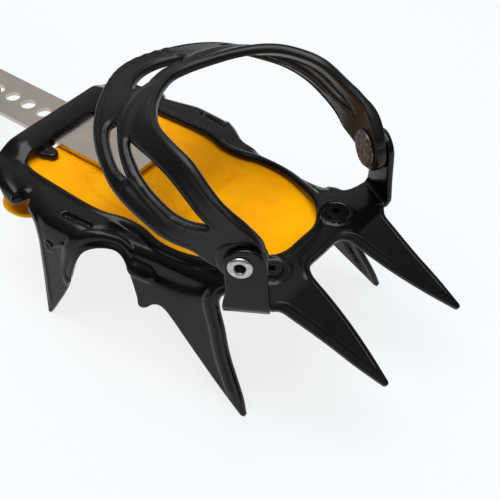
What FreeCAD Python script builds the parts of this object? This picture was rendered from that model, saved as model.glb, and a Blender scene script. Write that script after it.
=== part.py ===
import FreeCAD, Part
import math
import os

V = FreeCAD.Vector

# ---- driving dimensions, mm ----
SHIFT = V(138.2, 0, 53)         # drawing origin (toe pivot line, sole plane) to the row's origin
SHEET = 2.5                    # frame steel
POINT_Z = -53                  # tips of the ground points, below the sole plane
PITCH = 10                     # hole spacing of the linking bar
BAR_W, BAR_T, BAR_HOLE = 24, 2.0, 3.5
BAR_X0, BAR_X1 = -280, -88     # rear and front ends of the bar
BAR_Z = -1.5                   # underside of the bar
FIRST_HOLE = -150              # foremost hole
HOLES = 13
HEEL_BACK = V(-40, 0, 0)       # heel part drawn at the short setting, shown 40 longer
LATCH_X = -200                 # latch stud before that shift
TOE_Z, TOE_Y = 25, 46.5        # toe pivot height, outer face of the post on the pivot line
TOE_IN = math.radians(31)      # the toe posts turn in to follow the boot
HEEL_X, HEEL_Y, HEEL_Z = -232, 40, 27
PIN_R = 3.0
RUN = 0.05                     # running clearance of the pivots

# toe basket: front and rear edges of the band, right half from lug to middle
EDGE_F = [(8, 38.5, 35), (-6, 44, 44), (-16, 43.5, 50), (-27, 41, 57), (-40, 37, 58.5),
          (-50, 32, 58), (-58, 24, 56.5), (-63, 17, 55), (-67, 9, 54), (-69.5, 0, 53.5)]
EDGE_R = [(1, 43, 15), (-17, 49, 23), (-29, 55, 28), (-42, 56, 34), (-53, 54, 37.5),
          (-62, 50, 40), (-72, 43.5, 43), (-81, 34.5, 45.5), (-90, 21, 46.5), (-98, 0, 46)]


def box(x0, x1, y0, y1, z0, z1):
    return Part.makeBox(x1 - x0, y1 - y0, z1 - z0, V(x0, y0, z0))


def mirror(shape):
    return shape.mirror(V(0, 0, 0), V(0, 1, 0))


def both(shape):
    return shape.fuse(mirror(shape))


def prism_z(points, z0, z1):
    face = Part.Face(Part.makePolygon([V(x, y, z0) for x, y in points + points[:1]]))
    return face.extrude(V(0, 0, z1 - z0))


def prism_y(points, y0, y1):
    face = Part.Face(Part.makePolygon([V(x, y0, z) for x, z in points + points[:1]]))
    return face.extrude(V(0, y1 - y0, 0))


def prism_x(points, x0, x1):
    face = Part.Face(Part.makePolygon([V(x0, y, z) for y, z in points + points[:1]]))
    return face.extrude(V(x1 - x0, 0, 0))


def rod(start, direction, radius, length):
    return Part.makeCylinder(radius, length, V(*start), V(*direction))


def loft(sections, ruled=True):
    wires = []
    for pts in sections:
        pts = [V(*p) for p in pts]
        wires.append(Part.makePolygon(pts + pts[:1]))
    return Part.makeLoft(wires, True, ruled)


def rounded_box(x0, x1, y0, y1, z0, z1, radius):
    body = box(x0, x1, y0, y1, z0, z1)
    upright = [e for e in body.Edges if abs(e.Vertexes[0].Z - e.Vertexes[1].Z) > 0.1]
    return body.makeFillet(radius, upright)


# ---- frame parts ----
def flank_section(x, top, shoulder, tip):
    """Bent edge of the frame seen along the crampon: flat, shoulder, blade."""
    return [(x, 27, top), (x, 37, top), (x, shoulder - 4.2, -1.2 + top * 0.6),
            (x, shoulder - 1.3, -4), (x, shoulder, -9), (x, tip, POINT_Z - 1),
            (x, tip - 2.4, POINT_Z - 1), (x, shoulder - 2.5, -9.4), (x, shoulder - 3.4, -5.6),
            (x, shoulder - 5.4, -3.4 + top * 0.6), (x, 36.4, top - SHEET), (x, 27, top - SHEET)]


def front_frame():
    flank = loft([flank_section(*s) for s in [
        (-146, 0, 44, 54), (-118, 0, 47.5, 54.5), (-100, 0, 52, 54.6), (-84, 0, 51.5, 54),
        (-70, 0, 45.5, 51.5), (-50, 0, 42.5, 50), (-30, 0.8, 41, 49.5), (-10, 3, 41, 49.5),
        (4, 3, 41, 49.2)]])
    outline = [(-146, 5), (-146, -6), (-112, -6), (-106, -8), (-103.5, -14), (-103, -22),
               (-102, -32), (-101.5, -44), (-100.6, -53), (-99.6, -53), (-97, -49), (-89, -34),
               (-85.5, -24), (-82, -15), (-79, -10), (-75, -7.5), (-70, -6.5), (-66, -6.5),
               (-62.5, -8.5), (-60, -12), (-57.5, -17), (-54.7, -24), (-54, -27.5), (-52.5, -28),
               (-50, -26.8), (-47, -23.7), (-44, -22.5), (-41, -23.3), (-37, -26), (-32, -30),
               (-22, -36.5), (-10, -46), (2, -53), (3, -53), (1, -47), (-7, -26), (-12.5, -12),
               (-14.5, -6.5), (-14, -4), (-12, -2), (-9, -1), (-9, 5)]
    flank = flank.common(prism_y(outline, 20, 60))
    # opening follows the waist of the rails
    opening = [(-128, 30), (-108, 33), (-86, 33.5), (-80, 33), (-74, 31), (-68, 30.2),
               (-61, 30.5), (-54, 32.5), (-47, 33), (-38, 32), (-29, 29), (-18, 24), (-11, 16),
               (-7.5, 10), (-7, 0), (-131, 0), (-131, 26)]
    hole = prism_z(opening, -8, 8)
    # front sheet: crossbar, bent down into the two front points
    sheet = prism_y([(-20, 3), (5, 3), (9, 2.2), (53.6, -18.4), (53.6, -19.2), (30, -10.4),
                     (8, -0.6), (4.5, 0.4), (-20, 0.4)], 0, 60)
    plan = [(-20, 0), (-20, 40.5), (-12, 41), (-9, 43), (-6.4, 47.4), (7.3, 39.2), (9, 34.5),
            (17, 33), (29, 30.6), (41, 29), (53.4, 26), (53.4, 25.2), (41, 20.3), (29, 16.8),
            (18, 14.6), (10, 13.6), (6.6, 11.6), (5, 9), (5, 0)]
    sheet = sheet.common(prism_z(plan, -30, 10))
    # pressed-up rear crossbar with the slot for the linking bar
    bar_over = prism_y([(-144.5, 0.9), (-144.5, 2.6), (-142.6, 4.4), (-139, 5.0), (-136, 4.6),
                        (-133, 3.2), (-131, 1.6), (-131, 0.9)], 0, 34)
    bar_side = prism_y([(-144.5, -2.5), (-144.5, 1), (-131, 1), (-131, -2.5)], 14, 34)
    bar_under = box(-142, -133, 0, 16, -4.4, -1.9)
    bar_link = box(-142, -133, 14, 16, -4.4, 1)
    corner = prism_z([(-146, 20), (-146, 38), (-141, 41), (-120, 41), (-120, 33), (-131, 28),
                      (-133, 20)], -SHEET, 1.2)
    lobe = Part.makeSphere(11, V(-125, 40.5, -6.6)).common(box(-140, -110, 30, 50, -2.5, 6))
    hook = prism_z([(-131, 15.5), (-126, 16), (-124, 18), (-125, 20.5), (-131, 21)], -1.2, 0.9)
    half = flank.cut(hole)
    for piece in (sheet.cut(hole), bar_over, bar_side, bar_under, bar_link, corner.cut(hole),
                  lobe, hook):
        half = half.fuse(piece)
    half = half.fuse(toe_post())
    half = half.cut(rod((-4.5, 21.5, -5), (0, 0, 1), 2.6, 12))
    half = half.cut(rod((0, 30, TOE_Z), (0, 1, 0), PIN_R + RUN, 25))
    return both(half).removeSplitter()


def turned(points, inset, thick, axis=None):
    """Plate standing on the toed-in plane; points are (along, height above the pivot)."""
    t = V(math.cos(TOE_IN), -math.sin(TOE_IN), 0)
    n = V(math.sin(TOE_IN), math.cos(TOE_IN), 0)
    base = V(0, TOE_Y, TOE_Z) - n * (inset + thick)
    ring = [base + t * a + V(0, 0, h) for a, h in points]
    return Part.Face(Part.makePolygon(ring + ring[:1])).extrude(n * thick)


def toe_post():
    top = []
    for i in range(0, 13):
        a = math.pi * (1 - i / 12)
        top.append((1.2 + 7.7 * math.cos(a), 7.7 * math.sin(a)))
    return turned([(-3.6, -22.6)] + [(-5.0, -14)] + top + [(9.6, -10), (10.6, -22.6)], 0, SHEET)


def eyelet_front(side):
    body = rod((-4.5, side * 21.5, -6), (0, 0, 1), 2.5, 10)
    body = body.fuse(Part.makeCone(5.0, 4.2, 0.9, V(-4.5, side * 21.5, 3.1), V(0, 0, 1)))
    body = body.fuse(rod((-4.5, side * 21.5, -6.0), (0, 0, 1), 5.0, 1.0))
    return body.cut(rod((-4.5, side * 21.5, -7), (0, 0, 1), 1.5, 14))


def front_plate():
    outline = [(-131.5, -18), (-138, -18), (-138, -30), (-129, -33), (-112, -38), (-82, -38),
               (-70, -35), (-50, -35), (-38, -34), (-18, -26.5), (-3, -27.5), (0.5, -24),
               (0.5, -16), (-5, -10), (-5, 10), (0.5, 16), (0.5, 24), (-3, 27.5), (-18, 26.5),
               (-38, 34), (-50, 35), (-70, 35), (-82, 38), (-112, 38), (-129, 33), (-138, 30),
               (-138, 18), (-131.5, 18)]
    plate = prism_z(outline, -4.9, -3.1)
    for side in (-1, 1):
        y0, y1 = sorted((side * 30, side * 33))
        plate = plate.fuse(box(-129, -112, y0, y1, -14.9, -4.0))
        pts = [(-129, side * 30), (-135.5, side * 37), (-135, side * 42), (-131, side * 45),
               (-125, side * 46), (-119.5, side * 44.5), (-116, side * 41), (-112, side * 33),
               (-112, side * 30)]
        plate = plate.fuse(prism_z(pts, -14.9, -13.1))
        plate = plate.cut(rod((-4.5, side * 21.5, -6), (0, 0, 1), 2.6, 5))
        boss = rod((-4.5, side * 21.5, -4.9), (0, 0, 1), 5.5, 5.1)
        plate = plate.fuse(boss.cut(rod((-4.5, side * 21.5, -6), (0, 0, 1), 2.6, 8)))
    # shallow ribs that let snow peel off
    for x in (-100, -76, -52):
        plate = plate.fuse(box(x - 2, x + 2, -24, 24, -6.0, -4.5))
    return plate.removeSplitter()


# ---- toe basket ----
def edge_point(points, s):
    """Smooth curve through the edge points (Catmull-Rom)."""
    i = min(int(s), len(points) - 2)
    u = s - i
    p1, p2 = points[i], points[i + 1]
    p0 = points[i - 1] if i > 0 else [2 * a - b for a, b in zip(p1, p2)]
    last = (p2[0] * 2 - p1[0], -p1[1], p1[2])
    if i + 2 == len(points):
        last = (p1[0], -p1[1], p1[2])
    p3 = points[i + 2] if i + 2 < len(points) else last
    out = []
    for a, b, c, d in zip(p0, p1, p2, p3):
        out.append(0.5 * (2 * b + (c - a) * u + (2 * a - 5 * b + 4 * c - d) * u * u
                          + (3 * b - a - 3 * c + d) * u ** 3))
    return V(*out)


def band_point(s, v):
    return edge_point(EDGE_F, s) * (1 - v) + edge_point(EDGE_R, s) * v


def band_normal(s, v):
    a = band_point(min(s + 0.05, 9), v) - band_point(min(s + 0.05, 9) - 0.1, v)
    b = band_point(s, 1) - band_point(s, 0)
    n = a.cross(b)
    if s > 8.99:
        n.y = 0
    n.normalize()
    return n if n.z > 0 or n.y > 0 else n * -1


def strand(stations, thick=3.6, step=0.35):
    """Band between two edge fractions, lofted through stations (s, v0, v1)."""
    rings = []
    for here, after in zip(stations, stations[1:] + [None]):
        n = 1 if after is None else max(1, round((after[0] - here[0]) / step))
        for i in range(n):
            f = i / n
            s, v0, v1 = here if after is None else [a + (b - a) * f for a, b in zip(here, after)]
            half = band_normal(s, (v0 + v1) / 2) * (thick / 2)
            a, b = band_point(s, v0), band_point(s, v1)
            rings.append([a + half, b + half, b - half, a - half])
    return loft(rings)


def toe_basket():
    front = strand([(0.85, 0.02, 0.5), (1.3, 0, 0.42), (2, 0, 0.37), (3, 0, 0.35), (4, 0, 0.36),
                    (5, 0, 0.42), (5.4, 0, 0.47)])
    low = strand([(0.85, 0.45, 0.98), (1.3, 0.44, 1), (2, 0.6, 1), (3, 0.64, 1),
                  (4, 0.57, 1), (4.35, 0.56, 1)])
    middle = strand([(4.1, 0.56, 0.74), (4.8, 0.5, 0.69), (5.4, 0.42, 0.64), (6.3, 0.3, 0.6),
                     (7, 0.2, 0.62)])
    rear = strand([(4.1, 0.74, 1), (4.8, 0.78, 1), (5.6, 0.78, 1), (6.4, 0.75, 1), (7, 0.7, 1)])
    web = strand([(5.3, 0, 0.5), (6, 0, 0.5), (6.6, 0, 0.66), (6.9, 0, 1), (7.5, 0, 1),
                  (8.1, 0, 1), (8.35, 0, 1)])
    bridge_f = strand([(8.2, 0, 0.3), (8.6, 0, 0.28), (9, 0, 0.27)])
    bridge_r = strand([(8.2, 0.5, 1), (8.6, 0.54, 1), (9, 0.55, 1)])
    half = front
    for piece in (low, middle, rear, web, bridge_f, bridge_r):
        half = half.fuse(piece)
    # lug behind the post: thick in the middle, bevelled so it can swing
    keep = both(box(-200, 60, 0.0, 90, -20, 120))
    half = half.common(keep)
    lug = toe_lug()
    relief = turned([(-7.4, -30), (-7.4, 9.5), (14, 9.5), (14, -30)], -6, 8.9)
    half = half.cut(relief).fuse(lug)
    half = half.cut(rod((0, 20, TOE_Z), (0, 1, 0), PIN_R + RUN, 35))
    half = half.cut(turned(circle(7.9, 1.0), 8.0, 12))
    return both(half).removeSplitter()


def circle(radius, skip=0.0, centre=(0, 0), n=24):
    out = []
    for i in range(n):
        a = 2 * math.pi * i / n
        out.append((centre[0] + radius * math.cos(a), centre[1] + radius * math.sin(a)))
    return out


def toe_lug():
    """Hexagonal cross-section extruded along the post plane, then trimmed round."""
    t = V(math.cos(TOE_IN), -math.sin(TOE_IN), 0)
    n = V(math.sin(TOE_IN), math.cos(TOE_IN), 0)
    base = V(0, TOE_Y, TOE_Z) - n * (SHEET + 0.35)
    ring = []
    for w, h in [(0, -0.8), (0, 0.8), (-1.6, 9), (-3.6, 9), (-5, 0.8), (-5, -0.8), (-3.6, -9),
                 (-1.6, -9)]:
        ring.append(base + n * w + V(0, 0, h) - t * 16)
    body = Part.Face(Part.makePolygon(ring + ring[:1])).extrude(t * 26)
    cap = turned([(-16, -7), (-16, 12)] + [(8.6 * math.cos(a), 8.6 * math.sin(a)) for a in
                 [math.radians(d) for d in range(90, -91, -15)]], -2, 16)
    return body.common(cap)


def toe_rivet(side):
    """Hollow rivet: flared eyelet outside the post, flat disc inside the basket."""
    shank = rod((0, 36.6, TOE_Z), (0, 1, 0), PIN_R, 9.2)
    ring = turned(circle(4.8), -1.3, 1.3)
    head = turned(circle(7.2), SHEET + 0.35 + 5.35, 1.4)
    body = shank.fuse(ring).fuse(head)
    eye = turned(circle(2.1), -3, 8)
    body = body.cut(eye)
    return body if side > 0 else mirror(body)


# ---- linking bar ----
def link_bar():
    bar = rounded_box(BAR_X0, BAR_X1, -BAR_W / 2, BAR_W / 2, BAR_Z, BAR_Z + BAR_T, 4)
    for i in range(HOLES):
        bar = bar.cut(rod((FIRST_HOLE - PITCH * i, 0, -5), (0, 0, 1), BAR_HOLE, 10))
    return bar


# ---- heel part ----
def heel_frame():
    def section(x, shoulder, tip):
        return [(x, 20, 0), (x, 29, 0), (x, shoulder - 3, -1.4), (x, shoulder, -6),
                (x, tip, POINT_Z - 1), (x, tip - 2.4, POINT_Z - 1), (x, shoulder - 2.5, -6.6),
                (x, shoulder - 4.6, -3.6), (x, 28.4, -SHEET), (x, 20, -SHEET)]
    flank = loft([section(*s) for s in [(-276, 31, 38), (-255, 34, 41), (-225, 36, 41),
                                        (-195, 38, 45), (-182, 37, 45)]])
    outline = [(-276, 5), (-276, -6), (-273, -14), (-271, -30), (-269, -44), (-267.6, -53),
               (-266.6, -53), (-262, -42), (-256, -26), (-251, -14), (-245, -9), (-236, -7.5),
               (-222, -7.5), (-213, -10), (-208, -18), (-203, -32), (-198.6, -46),
               (-196.6, -53), (-195.6, -53), (-193, -42), (-189.5, -26), (-187, -14),
               (-184, -8), (-182, -7), (-182, 5)]
    flank = flank.common(prism_y(outline, 10, 60))
    hole = prism_z([(-262, 0), (-262, 18), (-256, 23), (-240, 25), (-204, 27), (-196, 24),
                    (-192, 18), (-192, 0)], -8, 8)
    over = prism_y([(-192, 1), (-192, 2.4), (-190, 3.8), (-185, 4.2), (-180, 3.8), (-178, 2.4),
                    (-178, 1)], 0, 26)
    side = box(-192, -178, 13, 26, -SHEET, 1.1)
    under = box(-190, -180, 0, 15, -4.4, -1.9)
    link = box(-190, -180, 13, 15, -4.4, 1.1)
    back = box(-276, -262, 0, 26, 1.2, 3.7)
    back_side = box(-276, -262, 17, 26, -SHEET, 1.3)
    post = []
    for i in range(0, 13):
        a = math.pi * (1 - i / 12)
        post.append((HEEL_X + 9 * math.cos(a), HEEL_Z + 9 * math.sin(a)))
    post = prism_y([(HEEL_X - 11, -6)] + post + [(HEEL_X + 11, -6)], HEEL_Y - SHEET, HEEL_Y)
    foot = box(HEEL_X - 11, HEEL_X + 11, 28, HEEL_Y, -SHEET, 0)
    half = flank.cut(hole)
    for piece in (over, side, under, link, back, back_side, post, foot):
        half = half.fuse(piece)
    half = half.cut(rod((HEEL_X, 30, HEEL_Z), (0, 1, 0), PIN_R + RUN, 15))
    half = half.fuse(box(-230, -218, 15.3, 29, -SHEET, 0))
    half = half.cut(rod((-185, 20.5, -8), (0, 0, 1), 2.1, 16))
    half = half.cut(rod((-269, 20.5, -8), (0, 0, 1), 2.1, 16))
    half = half.cut(rod((-224, 19.5, -8), (0, 0, 1), 1.6, 16))
    return both(half).removeSplitter()


def heel_plate():
    outline = [(-271, -25), (-262, -28), (-222, -29.5), (-192, -31), (-180, -30), (-180, 30),
               (-192, 31), (-222, 29.5), (-262, 28), (-271, 25)]
    plate = prism_z(outline, -7.6, -5.8)
    for x in (-185, -269):
        for side in (-1, 1):
            plate = plate.fuse(rod((x, side * 20.5, -7), (0, 0, 1), 4.6, 4.3))
    for x in (-185, -269):
        for side in (-1, 1):
            plate = plate.cut(rod((x, side * 20.5, -9), (0, 0, 1), 2.1, 9))
    return plate


def heel_eyelets():
    pieces = []
    for x, top in ((-185, 4.25), (-269, 3.75)):
        for side in (-1, 1):
            c = (x, side * 20.5)
            body = rod((c[0], c[1], -8.6), (0, 0, 1), 2.0, top + 8.6)
            body = body.fuse(Part.makeCone(4.4, 3.6, 0.9, V(c[0], c[1], top), V(0, 0, 1)))
            body = body.fuse(rod((c[0], c[1], -8.6), (0, 0, 1), 4.2, 0.9))
            pieces.append(body.cut(rod((c[0], c[1], -9), (0, 0, 1), 1.1, 16)))
    return Part.makeCompound(pieces)


def heel_basket():
    """Plastic cup round the back of the heel with an ear on each side for the strap."""
    path = [(-228, 35.15, 27), (-238, 35.15, 30), (-250, 35.6, 34), (-262, 34, 38),
            (-273, 28, 42), (-280, 18, 45), (-283.5, 7, 47), (-284, 0, 47)]
    tall = [8, 9, 10.5, 11, 10.5, 10, 10, 10]
    lean = [0, 0, 1, 2, 3, 3.6, 4, 4]
    rings = []
    for i, (p, h, k) in enumerate(zip(path, tall, lean)):
        a = V(*path[max(i - 1, 0)])
        b = V(*path[min(i + 1, len(path) - 1)])
        along = V(b.x - a.x, b.y - a.y, 0)
        if i == len(path) - 1:
            along = V(0, -1, 0)
        along.normalize()
        out = V(-along.y, along.x, 0) * -1
        out = out if out.dot(V(p[0] + 232, p[1], 0)) > 0 else out * -1
        c = V(*p)
        foot, head = c - V(0, 0, h), c + V(0, 0, h) + out * k
        rings.append([foot + out * 2, head + out * 2, head - out * 2, foot - out * 2])
    half = loft(rings)
    lug = rod((HEEL_X, 33.15, HEEL_Z), (0, 1, 0), 9.5, 4)
    ear = prism_y([(-262, 36), (-240, 36), (-234, 48), (-235, 64), (-238, 67), (-255, 67),
                   (-258, 64), (-260, 50)], 33.15, 37.15)
    slot = box(-257, -236.5, 30, 40, 55.5, 59.5)
    half = half.fuse(lug).fuse(ear).cut(slot)
    half = half.cut(rod((HEEL_X, 30, HEEL_Z), (0, 1, 0), PIN_R + RUN, 12))
    half = half.common(box(-300, -200, 0, 37.15, 0, 90).fuse(box(-300, -244.5, 0, 45, 0, 90)))
    return both(half).removeSplitter()


def heel_rivet(side):
    body = rod((HEEL_X, 31.4, HEEL_Z), (0, 1, 0), PIN_R, 9.9)
    body = body.fuse(rod((HEEL_X, 31.4, HEEL_Z), (0, 1, 0), 7.2, 1.4))
    body = body.fuse(rod((HEEL_X, HEEL_Y, HEEL_Z), (0, 1, 0), 4.8, 1.3))
    body = body.cut(rod((HEEL_X, 30, HEEL_Z), (0, 1, 0), 2.1, 14))
    return body if side > 0 else mirror(body)


# ---- length latch on the heel part ----
AXLE_X, AXLE_Z, AXLE_R = -224, 3.5, 1.5


def latch_bracket():
    half = box(-230, -218, 0, 23, -4.7, -2.7).fuse(box(-230, -218, 13, 15, -4.7, 6.2))
    half = half.cut(rod((AXLE_X, 10, AXLE_Z), (0, 1, 0), AXLE_R + RUN, 8))
    half = half.cut(rod((-224, 19.5, -8), (0, 0, 1), 1.6, 16))
    return both(half).removeSplitter()


def latch_rivets():
    pieces = []
    for side in (-1, 1):
        c = V(-224, side * 19.5, 0)
        body = Part.makeCylinder(1.5, 6.7, c + V(0, 0, -5.7))
        body = body.fuse(Part.makeCylinder(3, 1, c + V(0, 0, -5.7)))
        pieces.append(body.fuse(Part.makeCone(3, 2.2, 1, c + V(0, 0, 0))))
    return Part.makeCompound(pieces)


def latch_lever():
    body = prism_y([(-224, 2.3), (-194.2, 2.3), (-194.2, 4.6), (-195.4, 5.1), (-196.6, 4.7),
                    (-224, 4.7)], -11, 11)
    body = body.fuse(rod((AXLE_X, -9, AXLE_Z), (0, 1, 0), 2.6, 18))
    body = body.cut(box(-222, -215, 8.8, 12, 0, 8)).cut(box(-222, -215, -12, -8.8, 0, 8))
    body = body.cut(box(-228, -221, 9, 12, 0, 8)).cut(box(-228, -221, -12, -9, 0, 8))
    for x in (-211.5, -208.5, -205.5):
        body = body.cut(box(x - 0.5, x + 0.5, -8, 8, 4.3, 5))
    body = body.cut(rod((LATCH_X, 0, 0), (0, 0, 1), 2.05, 8))
    return body.cut(rod((AXLE_X, -12, AXLE_Z), (0, 1, 0), AXLE_R + RUN, 24))


def latch_stud():
    body = rod((LATCH_X, 0, -1.9), (0, 0, 1), PIN_R, 4.15)
    return body.fuse(rod((LATCH_X, 0, 2), (0, 0, 1), 2.0, 3.2)).fuse(
        Part.makeCone(3.0, 2.3, 0.7, V(LATCH_X, 0, 4.75), V(0, 0, 1)))


def latch_axle():
    body = rod((AXLE_X, -15.6, AXLE_Z), (0, 1, 0), AXLE_R, 31.2)
    for y in (-15.8, 15.05):
        body = body.fuse(rod((AXLE_X, y, AXLE_Z), (0, 1, 0), 2.4, 0.75))
    return body


def latch_spring():
    """Torsion coil round the axle, its tail on the bracket base."""
    helix = Part.makeHelix(1.05, 3.15, 2.25)
    ring = Part.Wire(Part.makeCircle(0.42, V(2.25, 0, 0), V(0, 1, 0)))
    coil = Part.Wire(helix.Edges).makePipeShell([ring], True, True)
    coil.rotate(V(0, 0, 0), V(1, 0, 0), -90)
    coil.translate(V(AXLE_X, 9.45, AXLE_Z))
    return coil


# ---- ankle strap ----
def ribbon(path, width, thick):
    """Flat webbing through points; each row is (point, direction across the webbing)."""
    rings = []
    for i, (p, across) in enumerate(path):
        a = V(*path[max(i - 1, 0)][0])
        b = V(*path[min(i + 1, len(path) - 1)][0])
        w = V(*across)
        w.normalize()
        n = (b - a).cross(w)
        n.normalize()
        w, n, c = w * (width / 2), n * (thick / 2), V(*p)
        rings.append([c + w + n, c + w - n, c - w - n, c - w + n])
    return loft(rings)


def strap_leg(side):
    """Webbing looped through the ear slot and stitched back on itself."""
    pts = [(30.9, 74), (30.9, 60), (31.6, 58), (33.4, 57.5), (36.9, 57.5), (38.7, 58),
           (39.4, 60), (39.4, 70)]
    rows = [((-246.7, side * y, z), (1, 0, 0)) for y, z in pts]
    return ribbon(rows, 19, 1.7)


def ankle_strap():
    rows = [((-246.7, 39.4, 68), (1, 0, 0)), ((-243, 41, 74), (0.9, 0.05, -0.4)),
            ((-234, 43, 82), (0.5, 0.1, -0.85)), ((-218, 44, 88), (0.3, 0.1, -0.95)),
            ((-200, 41, 93), (0.25, 0.15, -0.96)), ((-184, 31, 97), (0.2, 0.2, -0.96)),
            ((-174, 16, 99.5), (0.3, 0.1, -0.95)), ((-171, 0, 100), (0.3, 0, -0.95)),
            ((-174, -16, 99.5), (0.3, -0.1, -0.95)), ((-184, -31, 97), (0.2, -0.2, -0.96)),
            ((-200, -41, 93), (0.25, -0.15, -0.96)), ((-212, -43.2, 90), (0.33, -0.05, -0.94)),
            ((-218.5, -43.9, 88), (0.33, 0, -0.94)), ((-220.9, -45.2, 87.1), (0.33, 0, -0.94)),
            ((-221.5, -46.8, 86.9), (0.33, 0, -0.94)), ((-220.7, -48.4, 87.2), (0.33, 0, -0.94)),
            ((-218.3, -49.5, 88), (0.33, 0, -0.94)), ((-212, -50.4, 89.9), (0.33, 0.05, -0.94)),
            ((-200, -50.4, 92), (0.3, 0, -0.95)), ((-186, -50.4, 90), (0.1, 0, -1))]
    strap = ribbon(rows, 19, 1.7)
    return strap.fuse(strap_leg(1)).removeSplitter()


def buckle_strap():
    rows = [((-246.7, -39.4, 68), (-1, 0, 0)), ((-243, -41, 74), (-0.9, 0.05, 0.4)),
            ((-236, -43, 80), (-0.5, 0.1, 0.85)), ((-230, -44.5, 84), (-0.35, 0, 0.94)),
            ((-227.5, -46.5, 85), (-0.35, 0, 0.94)), ((-230, -48.3, 84), (-0.35, 0, 0.94)),
            ((-237, -46.6, 79.5), (-0.5, 0, 0.86))]
    return ribbon(rows, 19, 1.5).fuse(strap_leg(-1)).removeSplitter()


def strap_ring(offset):
    """Rectangular wire ring joining the two ends of the webbing."""
    w = V(0.33, 0, -0.94)
    n = V(0, 1, 0)
    t = w.cross(n)
    c = V(-224.5, -46.6 + offset, 86)
    pts = [c + w * a + t * b for a, b in ((-12, -6.5), (12, -6.5), (12, 6.5), (-12, 6.5))]
    body = None
    for p, q in zip(pts, pts[1:] + pts[:1]):
        piece = Part.makeCylinder(1.3, (q - p).Length, p, q - p).fuse(Part.makeSphere(1.3, p))
        body = piece if body is None else body.fuse(piece)
    return body.removeSplitter()


SOLIDS = {}


def main():
    os.makedirs("parts", exist_ok=True)
    SOLIDS["front_frame"] = front_frame()
    SOLIDS["front_antiball_plate"] = front_plate()
    SOLIDS["front_antiball_eyelets"] = Part.makeCompound([eyelet_front(-1), eyelet_front(1)])
    SOLIDS["toe_basket"] = toe_basket()
    SOLIDS["toe_basket_rivet_left"] = toe_rivet(1)
    SOLIDS["toe_basket_rivet_right"] = toe_rivet(-1)
    SOLIDS["link_bar"] = link_bar()
    SOLIDS["heel_frame"] = heel_frame()
    SOLIDS["heel_antiball_plate"] = heel_plate()
    SOLIDS["heel_antiball_eyelets"] = heel_eyelets()
    SOLIDS["heel_basket"] = heel_basket()
    SOLIDS["heel_basket_rivet_left"] = heel_rivet(1)
    SOLIDS["heel_basket_rivet_right"] = heel_rivet(-1)
    SOLIDS["latch_bracket"] = latch_bracket()
    SOLIDS["latch_bracket_rivets"] = latch_rivets()
    SOLIDS["latch_lever"] = latch_lever()
    SOLIDS["latch_stud"] = latch_stud()
    SOLIDS["latch_axle"] = latch_axle()
    SOLIDS["latch_spring"] = latch_spring()
    SOLIDS["ankle_strap"] = ankle_strap()
    SOLIDS["buckle_strap"] = buckle_strap()
    SOLIDS["strap_ring"] = strap_ring(0)
    for name, shape in SOLIDS.items():
        shape = shape.copy()
        if name.startswith(("heel", "latch", "ankle", "buckle", "strap")):
            shape.translate(HEEL_BACK)
        shape.translate(SHIFT)
        shape.exportStep("parts/%s.step" % name)
        b = shape.BoundBox
        print(name, shape.isValid(), len(shape.Solids), round(shape.Volume),
              [round(q, 1) for q in (b.XMin, b.XMax, b.YMin, b.YMax, b.ZMin, b.ZMax)])


main()
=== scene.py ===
import math

import bpy
import numpy as np
from mathutils import Matrix, Vector, geometry


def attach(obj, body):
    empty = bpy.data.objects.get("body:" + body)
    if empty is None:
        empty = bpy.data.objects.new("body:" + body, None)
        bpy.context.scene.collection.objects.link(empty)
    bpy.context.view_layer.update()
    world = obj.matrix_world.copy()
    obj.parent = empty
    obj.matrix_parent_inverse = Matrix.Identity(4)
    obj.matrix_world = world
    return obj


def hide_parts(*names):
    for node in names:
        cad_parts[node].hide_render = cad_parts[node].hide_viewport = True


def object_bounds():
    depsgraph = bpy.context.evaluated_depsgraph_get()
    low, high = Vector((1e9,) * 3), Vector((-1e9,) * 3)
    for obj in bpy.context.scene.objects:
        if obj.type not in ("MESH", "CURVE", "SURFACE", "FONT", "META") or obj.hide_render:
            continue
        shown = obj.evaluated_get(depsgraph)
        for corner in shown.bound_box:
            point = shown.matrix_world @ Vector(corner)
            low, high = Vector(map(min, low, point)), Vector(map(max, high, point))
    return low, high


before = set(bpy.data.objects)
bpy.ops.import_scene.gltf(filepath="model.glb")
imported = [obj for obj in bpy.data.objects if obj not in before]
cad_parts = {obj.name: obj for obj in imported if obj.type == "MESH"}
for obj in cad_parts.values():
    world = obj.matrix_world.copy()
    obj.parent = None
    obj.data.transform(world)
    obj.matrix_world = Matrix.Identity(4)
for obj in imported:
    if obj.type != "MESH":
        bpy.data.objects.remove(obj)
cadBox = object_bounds()
print("frame loaded")

mm = 0.001
frontOrigin = np.array([138.2, 0.0, 53.0])   # pivot line at the sole, as the CAD draws it
heelOrigin = np.array([98.2, 0.0, 53.0])
toeIn = math.radians(31)
postAlong = np.array([math.cos(toeIn), -math.sin(toeIn), 0.0])
postOut = np.array([math.sin(toeIn), math.cos(toeIn), 0.0])
postCentre = np.array([0.0, 46.5, 25.0])
heelPivot = np.array([-232.0, 40.0, 27.0])
eyeletX, eyeletY = -4.5, 21.5


def smoothStep(a, b, x):
    t = np.clip((np.asarray(x, float) - a) / (b - a), 0, 1)
    return t * t * (3 - 2 * t)


def bell(x, centre, width):
    return np.exp(-((np.asarray(x, float) - centre) / width) ** 2)


def blur(values, sigma):
    reach = int(3 * sigma) + 1
    k = np.exp(-0.5 * (np.arange(-reach, reach + 1) / sigma) ** 2)
    k /= k.sum()
    head = 2 * values[:1] - values[reach:0:-1]
    tail = 2 * values[-1:] - values[-2:-reach - 2:-1]
    padded = np.concatenate([head, values, tail])
    return np.apply_along_axis(lambda c: np.convolve(c, k, "valid"), 0, padded)


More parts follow.
